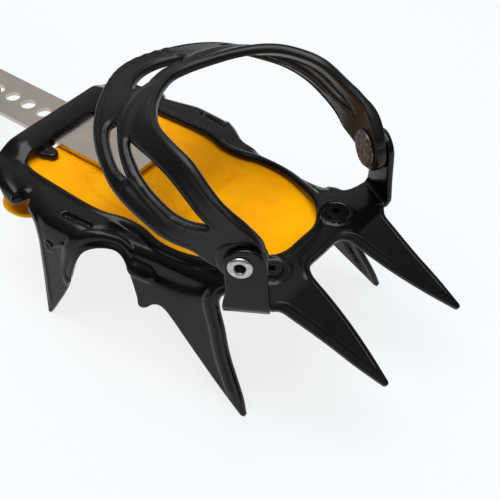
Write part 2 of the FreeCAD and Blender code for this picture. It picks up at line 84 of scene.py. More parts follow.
def spline(points, step, closed=False):
    # centripetal curve through the points, then even spacing
    p = [np.array(q, float) for q in points]
    if closed:
        p = [p[-1]] + p + p[:2]
    else:
        p = [2 * p[0] - p[1]] + p + [2 * p[-1] - p[-2]]
    out = []
    for a, b, c, d in zip(p, p[1:], p[2:], p[3:]):
        t = [0.0]
        for u, v in ((a, b), (b, c), (c, d)):
            t.append(t[-1] + max(np.linalg.norm(v - u), 1e-6) ** 0.5)
        n = max(2, int(np.linalg.norm(c - b) / step * 2) + 1)
        for s in np.linspace(t[1], t[2], n, endpoint=False):
            a1 = (t[1] - s) / (t[1] - t[0]) * a + (s - t[0]) / (t[1] - t[0]) * b
            a2 = (t[2] - s) / (t[2] - t[1]) * b + (s - t[1]) / (t[2] - t[1]) * c
            a3 = (t[3] - s) / (t[3] - t[2]) * c + (s - t[2]) / (t[3] - t[2]) * d
            b1 = (t[2] - s) / (t[2] - t[0]) * a1 + (s - t[0]) / (t[2] - t[0]) * a2
            b2 = (t[3] - s) / (t[3] - t[1]) * a2 + (s - t[1]) / (t[3] - t[1]) * a3
            out.append((t[2] - s) / (t[2] - t[1]) * b1 + (s - t[1]) / (t[2] - t[1]) * b2)
    if not closed:
        out.append(p[-2])
    return spaced(np.array(out), step, closed)


def spaced(line, step, closed=False):
    if closed:
        line = np.vstack([line, line[:1]])
    d = np.concatenate([[0], np.cumsum(np.linalg.norm(np.diff(line, axis=0), axis=1))])
    n = max(2, int(round(d[-1] / step)) + 1)
    s = np.linspace(0, d[-1], n)
    out = np.stack([np.interp(s, d, line[:, k]) for k in range(line.shape[1])], axis=1)
    return out[:-1] if closed else out


def outlineOf(runs, step):
    # runs meet at sharp corners
    parts = [spline(r, step)[:-1] if len(r) > 2 else spaced(np.array(r, float), step)[:-1] for r in runs]
    return np.vstack(parts)


def inside(points, ring):
    x, y = points[:, 0], points[:, 1]
    hit = np.zeros(len(points), bool)
    for (x0, y0), (x1, y1) in zip(ring, np.roll(ring, -1, axis=0)):
        if y0 != y1:
            hit ^= ((y0 > y) != (y1 > y)) & (x < (x1 - x0) * (y - y0) / (y1 - y0) + x0)
    return hit


def within(points, outer, holes):
    keep = inside(points, outer)
    for h in holes:
        keep &= ~inside(points, h)
    return keep


def normalOf(surface, p, e):
    n = np.cross(surface(p + [e, 0]) - surface(p - [e, 0]), surface(p + [0, e]) - surface(p - [0, e]))
    return n / np.maximum(np.linalg.norm(n, axis=1), 1e-9)[:, None]


def distanceTo(points, line):
    # nearest distance from each point to a polyline
    best = np.full(len(points), 1e9)
    for a, b in zip(line[:-1], line[1:]):
        ab = b - a
        t = np.clip(((points - a) @ ab) / max(ab @ ab, 1e-12), 0, 1)
        best = np.minimum(best, np.linalg.norm(points - a - t[:, None] * ab, axis=1))
    return best


def meshObject(name, parts, origin, body, material, replaces=()):
    # parts are drawn in millimetres round their own origin
    verts, faces = joined(parts)
    mesh = bpy.data.meshes.new(name)
    mesh.from_pydata([tuple(v) for v in (verts + origin) * mm], [], faces)
    mesh.validate()
    mesh.shade_smooth()
    obj = bpy.data.objects.new(name, mesh)
    bpy.context.scene.collection.objects.link(obj)
    mesh.materials.append(material)
    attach(obj, body)
    if replaces:
        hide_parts(*replaces)


def sheetMesh(outer, holes, step, place, thickness, edge=0.6, square=0.6, rings=4, fine=(), rows=()):
    # flat pattern -> formed sheet with rounded cut edges; place() maps pattern to space
    loops = [outer] + list(holes)
    low, high = outer.min(0), outer.max(0)
    lines = np.arange(low[1], high[1], step * 0.87)
    grid = []
    for i, y in enumerate(lines):
        xs = np.arange(low[0] + (i % 2) * step / 2, high[0], step)
        grid.append(np.stack([xs, np.full(len(xs), y)], axis=1))
    grid = np.vstack(grid)
    for a, b, c, d, small in fine:   # patches with closer points, on both sides
        for side in (1, -1):
            y = grid[:, 1] * side
            grid = grid[~((grid[:, 0] > a) & (grid[:, 0] < b) & (y > c) & (y < d))]
            u, w = np.meshgrid(np.arange(a, b, small), np.arange(c, d, small * 0.87))
            u = u + (np.arange(len(u)) % 2)[:, None] * small / 2
            grid = np.vstack([grid, np.stack([u.ravel(), w.ravel() * side], axis=1)])
    grid = grid[within(grid, outer, holes)]
    border = np.vstack(loops)
    near = np.full(len(grid), 1e9)
    for i in range(0, len(grid), 2000):
        part = grid[i:i + 2000]
        near[i:i + 2000] = np.linalg.norm(part[:, None] - border[None], axis=2).min(1)
    grid = grid[near > max([step * 0.55, edge + step * 0.3] + [d + 0.3 for d in rows])]
    for loop in loops:   # rows of points that follow each edge
        along = np.roll(loop, -1, axis=0) - np.roll(loop, 1, axis=0)
        across = np.stack([-along[:, 1], along[:, 0]], axis=1) / np.linalg.norm(along, axis=1)[:, None]
        for d in rows:
            for side in (1, -1):
                row = loop + across * d * side
                gap = np.linalg.norm(row[:, None] - border[None], axis=2).min(1)
                row = row[within(row, outer, holes) & (gap > d * 0.93 - 0.02)]
                if len(row):
                    row = row[np.concatenate([[True], np.linalg.norm(np.diff(row, axis=0), axis=1) > 0.4])]
                    grid = np.vstack([grid, row])
    cell = np.unique(np.round(grid / 0.3).astype(int), axis=0, return_index=True)[1]
    grid = grid[np.sort(cell)]
    points = np.vstack([border, grid])
    edges = []
    start = 0
    for loop in loops:
        n = len(loop)
        edges += [(start + i, start + (i + 1) % n) for i in range(n)]
        start += n
    got = geometry.delaunay_2d_cdt([Vector(p) for p in points], edges, [], 0, 1e-5)
    flat = np.array([tuple(v) for v in got[0]])
    tris = np.array([f for f in got[2] if len(f) == 3])
    tris = tris[within(flat[tris].mean(1), outer, holes)]
    a, b, c = flat[tris[:, 0]], flat[tris[:, 1]], flat[tris[:, 2]]
    turn = (b[:, 0] - a[:, 0]) * (c[:, 1] - a[:, 1]) - (b[:, 1] - a[:, 1]) * (c[:, 0] - a[:, 0])
    tris[turn < 0] = tris[turn < 0][:, ::-1]
    used = np.unique(tris)
    index = np.full(len(flat), -1)
    index[used] = np.arange(len(used))
    flat, tris = flat[used], index[tris]
    top = place(flat)
    normal = normalOf(place, flat, 0.25)
    t = thickness(flat) if callable(thickness) else np.full(len(flat), thickness)
    under = top - normal * t[:, None]
    verts = [top, under]
    n = len(flat)
    faces = [tuple(f) for f in tris] + [tuple(f[::-1] + n) for f in tris]
    count = {}
    for f in tris:
        for i, j in ((f[0], f[1]), (f[1], f[2]), (f[2], f[0])):
            count[(i, j)] = count.get((i, j), 0) + 1
    rim = [(i, j) for (i, j) in count if (j, i) not in count]
    after = dict(rim)
    before = {j: i for i, j in rim}
    order = sorted(after)
    slot = {v: k for k, v in enumerate(order)}
    out = np.zeros((len(order), 3))
    for k, v in enumerate(order):
        along = top[after[v]] - top[before.get(v, v)]
        o = np.cross(along, normal[v])
        out[k] = o / max(np.linalg.norm(o), 1e-9)
    ids = np.array(order)
    top[ids] -= out * edge
    under[ids] -= out * edge
    mid = (top[ids] + under[ids]) / 2
    ring = [ids]
    total = 2 * n
    for k in range(1, rings):
        a = math.pi / 2 - math.pi * k / rings
        s, c = math.sin(a), math.cos(a)
        up = np.sign(s) * abs(s) ** square
        verts.append(mid + normal[ids] * (t[ids] / 2 * up)[:, None] + out * (edge * c ** square))
        ring.append(np.arange(total, total + len(ids)))
        total += len(ids)
    ring.append(ids + n)
    for i, j in rim:
        p, q = slot[i], slot[j]
        for r0, r1 in zip(ring, ring[1:]):
            faces.append((int(r0[q]), int(r0[p]), int(r1[p]), int(r1[q])))
    return np.vstack(verts), [tuple(int(x) for x in f) for f in faces]


def lathe(profile, centre, axis, steps=48):
    # profile: (distance along axis, radius), turned round the axis
    axis = np.array(axis, float) / np.linalg.norm(axis)
    side = np.cross(axis, [0, 0, 1.0] if abs(axis[2]) < 0.9 else [1.0, 0, 0])
    side /= np.linalg.norm(side)
    up = np.cross(axis, side)
    verts, faces = [], []
    m = len(profile)
    for i in range(steps):
        a = 2 * math.pi * i / steps
        for h, r in profile:
            verts.append(np.array(centre) + axis * h + (side * math.cos(a) + up * math.sin(a)) * r)
    for i in range(steps):
        j = (i + 1) % steps
        for k in range(m):
            l = (k + 1) % m
            faces.append((i * m + k, j * m + k, j * m + l, i * m + l))
    return np.array(verts), faces


def ribbonMesh(path, across, width, thick, step=1.5, corner=0.45, columns=12):
    # flat band along a path; across gives the width direction at each point
    rows = spline([tuple(p) + tuple(a) for p, a in zip(path, across)], step)
    centre, wide = rows[:, :3], rows[:, 3:]
    along = np.gradient(centre, axis=0)
    along /= np.linalg.norm(along, axis=1)[:, None]
    wide -= along * (wide * along).sum(1)[:, None]
    wide /= np.linalg.norm(wide, axis=1)[:, None]
    normal = np.cross(along, wide)
    w, t = width / 2, thick / 2
    section = [(x, t) for x in np.linspace(-w + corner, w - corner, columns)]
    section += [(w - corner * 0.3, t * 0.7), (w, 0), (w - corner * 0.3, -t * 0.7)]
    section += [(x, -t) for x in np.linspace(w - corner, -w + corner, columns)]
    section += [(-w + corner * 0.3, -t * 0.7), (-w, 0), (-w + corner * 0.3, t * 0.7)]
    verts = np.vstack([centre[i] + np.outer([s[0] for s in section], wide[i])
                       + np.outer([s[1] for s in section], normal[i]) for i in range(len(centre))])
    m = len(section)
    faces = []
    for i in range(len(centre) - 1):
        for k in range(m):
            l = (k + 1) % m
            faces.append((i * m + k, i * m + l, (i + 1) * m + l, (i + 1) * m + k))
    faces.append(tuple(range(m)))
    faces.append(tuple(range((len(centre) - 1) * m, len(centre) * m))[::-1])
    return verts, faces


def joined(parts):
    verts, faces, n = [], [], 0
    for v, f in parts:
        verts.append(v)
        faces += [tuple(i + n for i in q) for q in f]
        n += len(v)
    return np.vstack(verts), faces


def mirrored(part):
    v, f = part
    return v * [1, -1, 1], [q[::-1] for q in f]


noiseNode, rampNode = "ShaderNodeTexNoise", "ShaderNodeValToRGB"


def linear(hexColour):
    out = []
    for i in (0, 2, 4):
        c = int(hexColour[i:i + 2], 16) / 255
        out.append(c / 12.92 if c <= 0.04045 else ((c + 0.055) / 1.055) ** 2.4)
    return (*out, 1.0)


def addNode(tree, kind, values=None, links=None, stops=(), to=None, **settings):
    # stops fill a colour ramp; the first output goes to the socket named by to
    n = tree.nodes.new(kind)
    for key, value in settings.items():
        setattr(n, key, value)
    for key, value in (values or {}).items():
        n.inputs[key].default_value = value
    for key, source in (links or {}).items():
        tree.links.new(source, n.inputs[key])
    for i, (at, colour) in enumerate(stops):
        n.color_ramp.elements[i].position, n.color_ramp.elements[i].color = at, colour
    if to:
        tree.links.new(n.outputs[0], to)
    return n


def perMm(size):
    return 1.0 / (size * mm)   # texture scale for a feature of this size


def newMaterial(name, **values):
    mat = bpy.data.materials.new(name)
    mat.use_nodes = True
    tree = mat.node_tree
    shader = tree.nodes["Principled BSDF"]
    for key, value in values.items():
        shader.inputs[key.replace("_", " ")].default_value = value
    coords = addNode(tree, "ShaderNodeTexCoord")
    return mat, tree, shader, coords.outputs["Object"]


def grey(v):
    return (v, v, v, 1.0)


paint = {"colour": "050505", "worn": "0b0b0a", "rough": 0.21, "peel": 0.9, "peelDepth": 0.01,
         "specular": 0.24}


def satinPaintedSteel(name):
    # stamped steel under baked satin enamel: dark, broad soft highlights, faint orange peel
    mat, tree, shader, at = newMaterial(name, IOR=1.52, Specular_IOR_Level=paint["specular"])
    blotch = addNode(tree, noiseNode, {"Scale": perMm(14), "Detail": 4}, {"Vector": at})
    fine = addNode(tree, noiseNode, {"Scale": perMm(paint["peel"]), "Detail": 2}, {"Vector": at})
    addNode(tree, rampNode, links={"Fac": blotch.outputs["Fac"]}, to=shader.inputs["Base Color"],
            stops=[(0.35, linear(paint["colour"])), (0.8, linear(paint["worn"]))])
    addNode(tree, rampNode, links={"Fac": blotch.outputs["Fac"]}, to=shader.inputs["Roughness"],
            stops=[(0.3, grey(paint["rough"] - 0.05)), (0.75, grey(paint["rough"] + 0.08))])
    addNode(tree, "ShaderNodeBump", {"Strength": 0.5, "Distance": paint["peelDepth"] * mm},
            {"Height": fine.outputs["Fac"]}, to=shader.inputs["Normal"])
    return mat


basketLook = {"colour": "070707", "warm": "100c08", "rough": 0.36, "grain": 0.45, "specular": 0.32}


def mouldedTpu(name):
    # injection-moulded soft polyurethane: matt-satin skin with spark-eroded fine grain
    mat, tree, shader, at = newMaterial(name, IOR=1.5, Specular_IOR_Level=basketLook["specular"])
    cloud = addNode(tree, noiseNode, {"Scale": perMm(20), "Detail": 3}, {"Vector": at})
    grain = addNode(tree, noiseNode, {"Scale": perMm(basketLook["grain"]), "Detail": 3}, {"Vector": at})
    addNode(tree, rampNode, links={"Fac": cloud.outputs["Fac"]}, to=shader.inputs["Base Color"],
            stops=[(0.3, linear(basketLook["colour"])), (0.75, linear(basketLook["warm"]))])
    addNode(tree, rampNode, links={"Fac": cloud.outputs["Fac"]}, to=shader.inputs["Roughness"],
            stops=[(0.3, grey(basketLook["rough"] - 0.05)), (0.7, grey(basketLook["rough"] + 0.06))])
    addNode(tree, "ShaderNodeBump", {"Strength": 0.45, "Distance": 0.03 * mm},
            {"Height": grain.outputs["Fac"]}, to=shader.inputs["Normal"])
    return mat


plateLook = {"deep": "ee9a00", "light": "ffb200", "rough": 0.5, "specular": 0.06}


def yellowElastomer(name):
    # flexible anti-snow plate: slightly translucent, so light softens inside it
    mat, tree, shader, at = newMaterial(name, IOR=1.48, Roughness=plateLook["rough"],
                                        Specular_IOR_Level=plateLook["specular"], Subsurface_Weight=0.15,
                                        Subsurface_Radius=(1.0, 0.6, 0.1), Subsurface_Scale=2.0 * mm)
    cloud = addNode(tree, noiseNode, {"Scale": perMm(26), "Detail": 3}, {"Vector": at})
    grain = addNode(tree, noiseNode, {"Scale": perMm(1.2), "Detail": 2}, {"Vector": at})
    addNode(tree, rampNode, links={"Fac": cloud.outputs["Fac"]}, to=shader.inputs["Base Color"],
            stops=[(0.3, linear(plateLook["deep"])), (0.65, linear(plateLook["light"]))])
    addNode(tree, "ShaderNodeBump", {"Strength": 0.3, "Distance": 0.04 * mm},
            {"Height": grain.outputs["Fac"]}, to=shader.inputs["Normal"])
    return mat


barLook = {"colour": "b9b1a7", "rough": 0.27, "scratch": 0.35}


def polishedSpringSteel(name, colour, rough, scratch):
    # rolled spring steel, tumbled: bright, with fine lines along its length
    mat, tree, shader, at = newMaterial(name, Metallic=1.0)
    stretch = addNode(tree, "ShaderNodeMapping", {"Scale": (0.04, 1.0, 1.0)}, {"Vector": at})
    lines = addNode(tree, noiseNode, {"Scale": perMm(scratch), "Detail": 3},
                    {"Vector": stretch.outputs["Vector"]})
    cloud = addNode(tree, noiseNode, {"Scale": perMm(9), "Detail": 3}, {"Vector": at})
    addNode(tree, rampNode, links={"Fac": cloud.outputs["Fac"]}, to=shader.inputs["Base Color"],
            stops=[(0.3, linear(colour)), (0.75, linear("c4bcb2"))])
    addNode(tree, rampNode, links={"Fac": lines.outputs["Fac"]}, to=shader.inputs["Roughness"],
            stops=[(0.3, grey(rough - 0.03)), (0.75, grey(rough + 0.05))])
    addNode(tree, "ShaderNodeBump", {"Strength": 0.15, "Distance": 0.003 * mm},
            {"Height": lines.outputs["Fac"]}, to=shader.inputs["Normal"])
    return mat


def nickelPlate(name, colour="c9c8c4", rough=0.22):
    # plated rivets and wire: cool, bright, slightly scuffed
    mat, tree, shader, at = newMaterial(name, Metallic=1.0)
    scuff = addNode(tree, noiseNode, {"Scale": perMm(1.6), "Detail": 4}, {"Vector": at})
    addNode(tree, rampNode, links={"Fac": scuff.outputs["Fac"]}, to=shader.inputs["Base Color"],
            stops=[(0.3, linear(colour)), (0.8, linear("9d9b97"))])
    addNode(tree, rampNode, links={"Fac": scuff.outputs["Fac"]}, to=shader.inputs["Roughness"],
            stops=[(0.3, grey(rough)), (0.75, grey(rough + 0.18))])
    return mat


webLook = {"colour": "1d1d1f", "light": "3b3b3e", "pick": 1.1, "depth": 0.22}


def nylonWebbing(name):
    # woven nylon strap: ribs across the strap every pick, dull with a little sheen
    mat, tree, shader, at = newMaterial(name, IOR=1.53, Roughness=0.78, Sheen_Weight=0.3)
    weft = addNode(tree, "ShaderNodeTexWave", {"Scale": perMm(webLook["pick"]) / 6.28, "Distortion": 1.5,
                                               "Detail": 1}, {"Vector": at},
                   wave_type="BANDS", bands_direction="DIAGONAL")
    warp = addNode(tree, noiseNode, {"Scale": perMm(0.8), "Detail": 2}, {"Vector": at})
    both = addNode(tree, "ShaderNodeMath", links={0: weft.outputs["Fac"], 1: warp.outputs["Fac"]},
                   operation="MULTIPLY")
    addNode(tree, rampNode, links={"Fac": both.outputs[0]}, to=shader.inputs["Base Color"],
            stops=[(0.1, linear(webLook["colour"])), (0.7, linear(webLook["light"]))])
    addNode(tree, "ShaderNodeBump", {"Strength": 0.7, "Distance": webLook["depth"] * mm},
            {"Height": both.outputs[0]}, to=shader.inputs["Normal"])
    return mat


enamel = satinPaintedSteel("satin_painted_steel")
tpu = mouldedTpu("moulded_polyurethane")
elastomer = yellowElastomer("yellow_elastomer")
springSteel = polishedSpringSteel("polished_spring_steel", barLook["colour"], barLook["rough"],
                                  barLook["scratch"])
nickel = nickelPlate("nickel_plated_rivet")
darkRivet = nickelPlate("bronzed_rivet_disc", "0f0b06", 0.5)
webbing = nylonWebbing("woven_nylon_webbing")
latchSteel = polishedSpringSteel("stamped_latch_steel", "9a9996", 0.34, 0.5)
print("materials made")


class FormedRail:
    # flat top, then bent down into the point blades; pattern is (x, distance across)
    def __init__(self, x0, x1, stations, flatFrom=None):
        self.x = np.arange(x0, x1 + 0.5, 1.0)
        self.w = np.arange(0, 118.01, 0.5)
        cols = np.array(stations, float)
        top, shoulder, tip = (np.interp(self.x, cols[:, 0], cols[:, k]) for k in (1, 2, 3))
        table = np.zeros((len(self.x), len(self.w), 2))
        for i in range(len(self.x)):
            s, h, t = shoulder[i], top[i], tip[i]
            line = [(0, h), (s - 9, h), (s - 4.4, h * 0.6 - 1.0), (s - 1.5, -4), (s, -9.5), (t, -54),
                    (t + 0.4, -62)]
            line = blur(spaced(np.array(line, float), 0.25), 6)
            d = np.concatenate([[0], np.cumsum(np.linalg.norm(np.diff(line, axis=0), axis=1))])
            table[i, :, 0] = np.interp(self.w, d, line[:, 0])
            table[i, :, 1] = np.interp(self.w, d, line[:, 1])
            if flatFrom is not None:   # shelf that carries the post
                shelf = self.w < 49
                k = float(smoothStep(flatFrom[0], flatFrom[1], self.x[i]))
                table[i, shelf, 0] += (self.w[shelf] - table[i, shelf, 0]) * k
                table[i, shelf, 1] += (h - table[i, shelf, 1]) * k
        self.table = blur(table, 1.5)

    def base(self, p):
        fx = np.clip((p[:, 0] - self.x[0]), 0, len(self.x) - 1.001)
        fw = np.clip(np.abs(p[:, 1]) / 0.5, 0, len(self.w) - 1.001)
        i, j = fx.astype(int), fw.astype(int)
        a, b = (fx - i)[:, None], (fw - j)[:, None]
        t = self.table
        yz = (t[i, j] * (1 - a) * (1 - b) + t[i + 1, j] * a * (1 - b)
              + t[i, j + 1] * (1 - a) * b + t[i + 1, j + 1] * a * b)
        return np.stack([p[:, 0], yz[:, 0] * np.where(p[:, 1] < 0, -1, 1), yz[:, 1]], axis=1)

    def across(self, x, z):
        # pattern distance of height z on the blade at x
        i = int(np.clip(round(x - self.x[0]), 0, len(self.x) - 1))
        zs = self.table[i, :, 1]
        j = int(np.argmax(self.w >= 24))
        return float(np.interp(-z, -zs[j:], self.w[j:]))

    def blade(self, points):
        return [(x, self.across(x, z)) for x, z in points]


def offsetSurface(base, lift):
    # moves the surface along its own normal by lift(p)
    def place(p):
        return base(p) + normalOf(base, p, 0.4) * lift(p)[:, None]
    return place


def fullLoop(half):
    # half an outline and its mirror image, without repeated points
    loop = np.vstack([half, half[::-1] * [1, -1]])
    return loop[np.linalg.norm(loop - np.roll(loop, 1, axis=0), axis=1) > 0.05]


def circle(x, y, radius, count):
    turn = np.linspace(0, 2 * math.pi, count, endpoint=False)
    return np.stack([x + radius * np.cos(turn), y + radius * np.sin(turn)], axis=1)


def rectangle(x0, y0, x1, y1, step=1.5):
    corners = [(x0, y0), (x1, y0), (x1, y1), (x0, y1), (x0, y0)]
    return outlineOf([[a, b] for a, b in zip(corners, corners[1:])], step)


def keeperAt(rise):
    # strip that dips under the bar
    def place(p):
        z = -2.1 + rise * smoothStep(12.6, 16.6, np.abs(p[:, 1]))
        return np.stack([p[:, 0], p[:, 1], z], axis=1)
    return place


def bothSides(part):
    return [part, mirrored(part)]


frontForm = {"steel": 2.4, "step": 1.1, "rows": (0.9, 1.5, 2.1, 2.7, 3.3, 4.0, 4.8), "cutEdge": 0.35,
             "beadHeight": 0.8, "rimHeight": 0.8, "panelHeight": 1.1, "eyeletRing": 0.6}
heelForm = {"steel": 2.4, "step": 1.7, "cutEdge": 0.35, "beadHeight": 0.8}


def buildFrontFrame():
    rail = FormedRail(-150, 58, [(-150, 0, 44, 54), (-118, 0, 47.5, 54.5), (-100, 0, 52, 54.6),
                                 (-84, 0, 51.5, 54), (-70, 0, 45.5, 51.5), (-50, 0, 42.5, 50),
                                 (-30, 0.8, 41, 49.5), (-10, 3, 41, 49.5), (4, 3, 41, 49.2), (7, 2.6, 41, 49),
                                 (53.6, -18.4, 41, 49), (60, -21.3, 41, 49)], flatFrom=(-15, -7))
    step = frontForm["step"] * 0.8
    scallop = rail.blade([(-85.5, -24), (-82, -15), (-79, -10), (-75, -7.5), (-70, -6.5), (-66, -6.5),
                          (-62.5, -8.5), (-60, -12), (-57.5, -17), (-54.7, -24)])
    secondRear = rail.blade([(-54.7, -24), (-54, -27.3), (-52.5, -28), (-50, -26.8), (-47, -23.9),
                             (-44, -22.7), (-41, -23.3), (-37, -26), (-32, -30), (-22, -37.2), (-10, -45.4),
                             (1.6, -53)])
    secondFront = rail.blade([(3.2, -52.6), (0.9, -46), (-8.6, -28.3), (-12.8, -17.4), (-15.8, -11),
                              (-16.8, -8.2), (-16.4, -5.4)]) + [(-14.9, 41.0), (-12.4, 39.2), (-10, 39.4),
                                                                (-8.4, 41.6), (-7.6, 45.6)]
    thirdFront = rail.blade([(-99.4, -53), (-97, -49), (-89, -34), (-85.5, -24)])
    thirdRear = rail.blade([(-112, -6), (-106.5, -8.5), (-103.8, -14), (-102.8, -22), (-101.9, -32),
                            (-101.3, -44), (-100.8, -53)])
    nose = [(5, 0), (5, 8.2), (5.8, 10.6), (8.4, 12.8), (12, 13.7), (18, 14.6), (29, 16.9), (41, 20.4),
            (52.4, 24.5)]
    outer = [(52.6, 26.9), (41, 29.2), (29, 30.9), (17, 33.2), (10.5, 34.8), (8.6, 37)]
    shelf = [(8.6, 37), (7.6, 37.6), (-7.6, 45.6)]
    corner = [(-112, rail.across(-112, -6)), (-113.2, 45.5), (-115.5, 47.2), (-119, 50), (-124, 51.6),
              (-129, 50.4), (-132.6, 46.6), (-134, 42.6), (-137, 41.6), (-141, 39.6), (-143.8, 35),
              (-144.6, 28), (-144.6, 0)]
    # walking the edge from the nose to the rear crossbar
    half = outlineOf([nose, [nose[-1], (53.5, 25.2), (53.6, 26.2), outer[0]], outer, shelf, secondFront[::-1],
                      [secondFront[0], secondRear[-1]], secondRear[::-1], scallop[::-1], thirdFront[::-1],
                      [thirdFront[0], thirdRear[-1]], thirdRear[::-1], corner], step)
    half = half[half[:, 1] > 0.3 * step]
    outline = fullLoop(np.vstack([[(5, 0.0)], half, [(-144.6, 0.0)]]))
    opening = [(-7, 0), (-7.3, 9.5), (-10, 15), (-18, 23.6), (-29, 29), (-38, 32), (-47, 33), (-54, 32.5),
               (-61, 30.7), (-68, 30.2), (-74, 31), (-80, 32.8), (-87, 33.6), (-108, 33), (-124, 31.8),
               (-129.4, 30.2), (-131.2, 27), (-130.6, 23.2), (-127.4, 21.4), (-124.6, 20.2), (-123.9, 18),
               (-125.2, 16.1), (-128, 15.4), (-131, 14.6), (-131.4, 0)]
    openHalf = spline(opening, step)
    holes = [fullLoop(openHalf)] + [circle(eyeletX, side * eyeletY, 2.6, 20) for side in (-1, 1)]
    line = {"scallop": spline(scallop, 1), "secondFront": spline(secondFront, 1),
            "thirdRear": spline(thirdRear, 1), "nose": spline(nose, 1), "outer": spline(outer, 1),
            "opening": openHalf}

    def lift(p):
        q = np.abs(p * [0, 1]) + p * [1, 0]
        x, w = q[:, 0], q[:, 1]
        h = np.zeros(len(q))
        onBlade = w > 38
        dScallop = distanceTo(q, line["scallop"])
        span = smoothStep(-91, -86, x) * (1 - smoothStep(-63, -57, x))
        arch = smoothStep(3.2, 4.2, dScallop) * (1 - smoothStep(6.6, 7.8, dScallop))
        h += frontForm["beadHeight"] * arch * onBlade * span
        h -= 0.35 * bell(dScallop, 2.6, 0.8) * onBlade * span
        # flat-topped bead down the front edge of the second point and round the notch
        dFront = distanceTo(q, line["secondFront"])
        z = rail.base(q)[:, 2]
        bead = smoothStep(2.3, 3.2, dFront) * (1 - smoothStep(5.6, 6.6, dFront))
        shelfFade = np.where(z < -6, 1, 1 - smoothStep(-14, -10, x))
        h += 0.75 * bead * smoothStep(-50, -42, z) * smoothStep(-30, -24, x) * shelfFade
        dThird = distanceTo(q, line["thirdRear"])
        h += 0.5 * bell(dThird, 2.4, 0.8) * onBlade * smoothStep(-50, -42, z) * (1 - smoothStep(-96, -92, x))
        # raised panel of each front point, and the bead round the cut between them
        dNose = distanceTo(q, line["nose"])
        dOuter = distanceTo(q, line["outer"])
        edge = np.minimum(dNose, dOuter)
        front = smoothStep(4, 12, x)
        h += frontForm["panelHeight"] * front * smoothStep(1.5, 3.2, edge) * (1 - smoothStep(46, 51, x))
        h += 0.8 * bell(dNose, 2.9, 0.8) * smoothStep(-3, 2, x) * (1 - front)
        # raised rim round the opening
        dOpen = distanceTo(q, line["opening"])
        h += frontForm["rimHeight"] * bell(dOpen, 1.6, 1.1) * smoothStep(-130, -120, x)
        low = smoothStep(-79, -66, x) * (1 - smoothStep(-24, -14, x))
        h -= 1.6 * low * smoothStep(3.2, 4.4, dOpen) * (1 - smoothStep(13, 20, dOpen))
        # eyelet seats
        r = np.hypot(x - eyeletX, w - eyeletY)
        h += frontForm["eyeletRing"] * bell(r, 6.8, 0.7) + 0.25 * (1 - smoothStep(7, 8.4, r))
        # pressed slot on the rail
        h -= 1.6 * capsule(q, (-93, 44.2), (-81, 43.0), 1.2)
        # rolled ring mark and tail on the third point
        ringAt = (-96.5, rail.across(-96.5, -14))
        r = np.hypot(x - ringAt[0], w - ringAt[1])
        h += 0.8 * bell(r, 2.0, 0.55)
        h += 0.6 * capsule(q, (ringAt[0] + 2.4, ringAt[1] - 1.2), (ringAt[0] + 8, ringAt[1] - 5.2), 0.7)
        # stiffening pad on the second point
        c = (-55, rail.across(-55, -11))
        h += 1.4 * capsule(q, (c[0] - 2.0, c[1] + 0.3), (c[0] + 4.0, c[1] - 0.8), 3.0)
        # lobe at the rear corner
        lobe = 1.5 * capsule(q, (-132, 43.5), (-122, 48.5), 3.0)
        h += lobe + 1.3 * capsule(q, (-120.5, 48.6), (-117.5, 42.0), 1.3)
        # pressed-up rear crossbar
        over = np.interp(x, [-145, -144, -142.6, -139, -136, -133, -131], [2.4, 3.4, 4.4, 5.0, 4.6, 3.3, 2.4])
        h += over * (1 - smoothStep(-131.2, -129.8, x)) * (1 - smoothStep(24, 35, w))
        return h

    def thick(p):
        cross = (1 - smoothStep(-131.2, -129, p[:, 0])) * (1 - smoothStep(14, 22, np.abs(p[:, 1])))
        return frontForm["steel"] - 0.9 * cross

    patches = [(-97, -77, 39, 48, 0.6), (-100, -86, 50, 62, 0.6), (-61, -46, 44, 62, 0.8),
               (-13, 5, 13, 30, 0.8), (6, 53, 13, 34, 0.65), (-82, -14, 30, 42, 0.7)]
    parts = [sheetMesh(outline, holes, frontForm["step"], offsetSurface(rail.base, lift), thick,
                       frontForm["cutEdge"], fine=patches, rows=frontForm["rows"])]
    parts += bothSides(toePost())
    parts.append(sheetMesh(rectangle(-142, -17, -133, 17), [], 1.5, keeperAt(3.2), 1.8, 0.3))
    meshObject("front_frame_formed", parts, frontOrigin, "front_part", enamel, ["front_frame"])


def capsule(q, a, b, radius):
    a, b = np.array(a, float), np.array(b, float)
    ab = b - a
    t = np.clip(((q - a) @ ab) / (ab @ ab), 0, 1)
    d = np.linalg.norm(q - a - t[:, None] * ab, axis=1)
    return 1 - smoothStep(radius * 0.55, radius * 1.35, d)


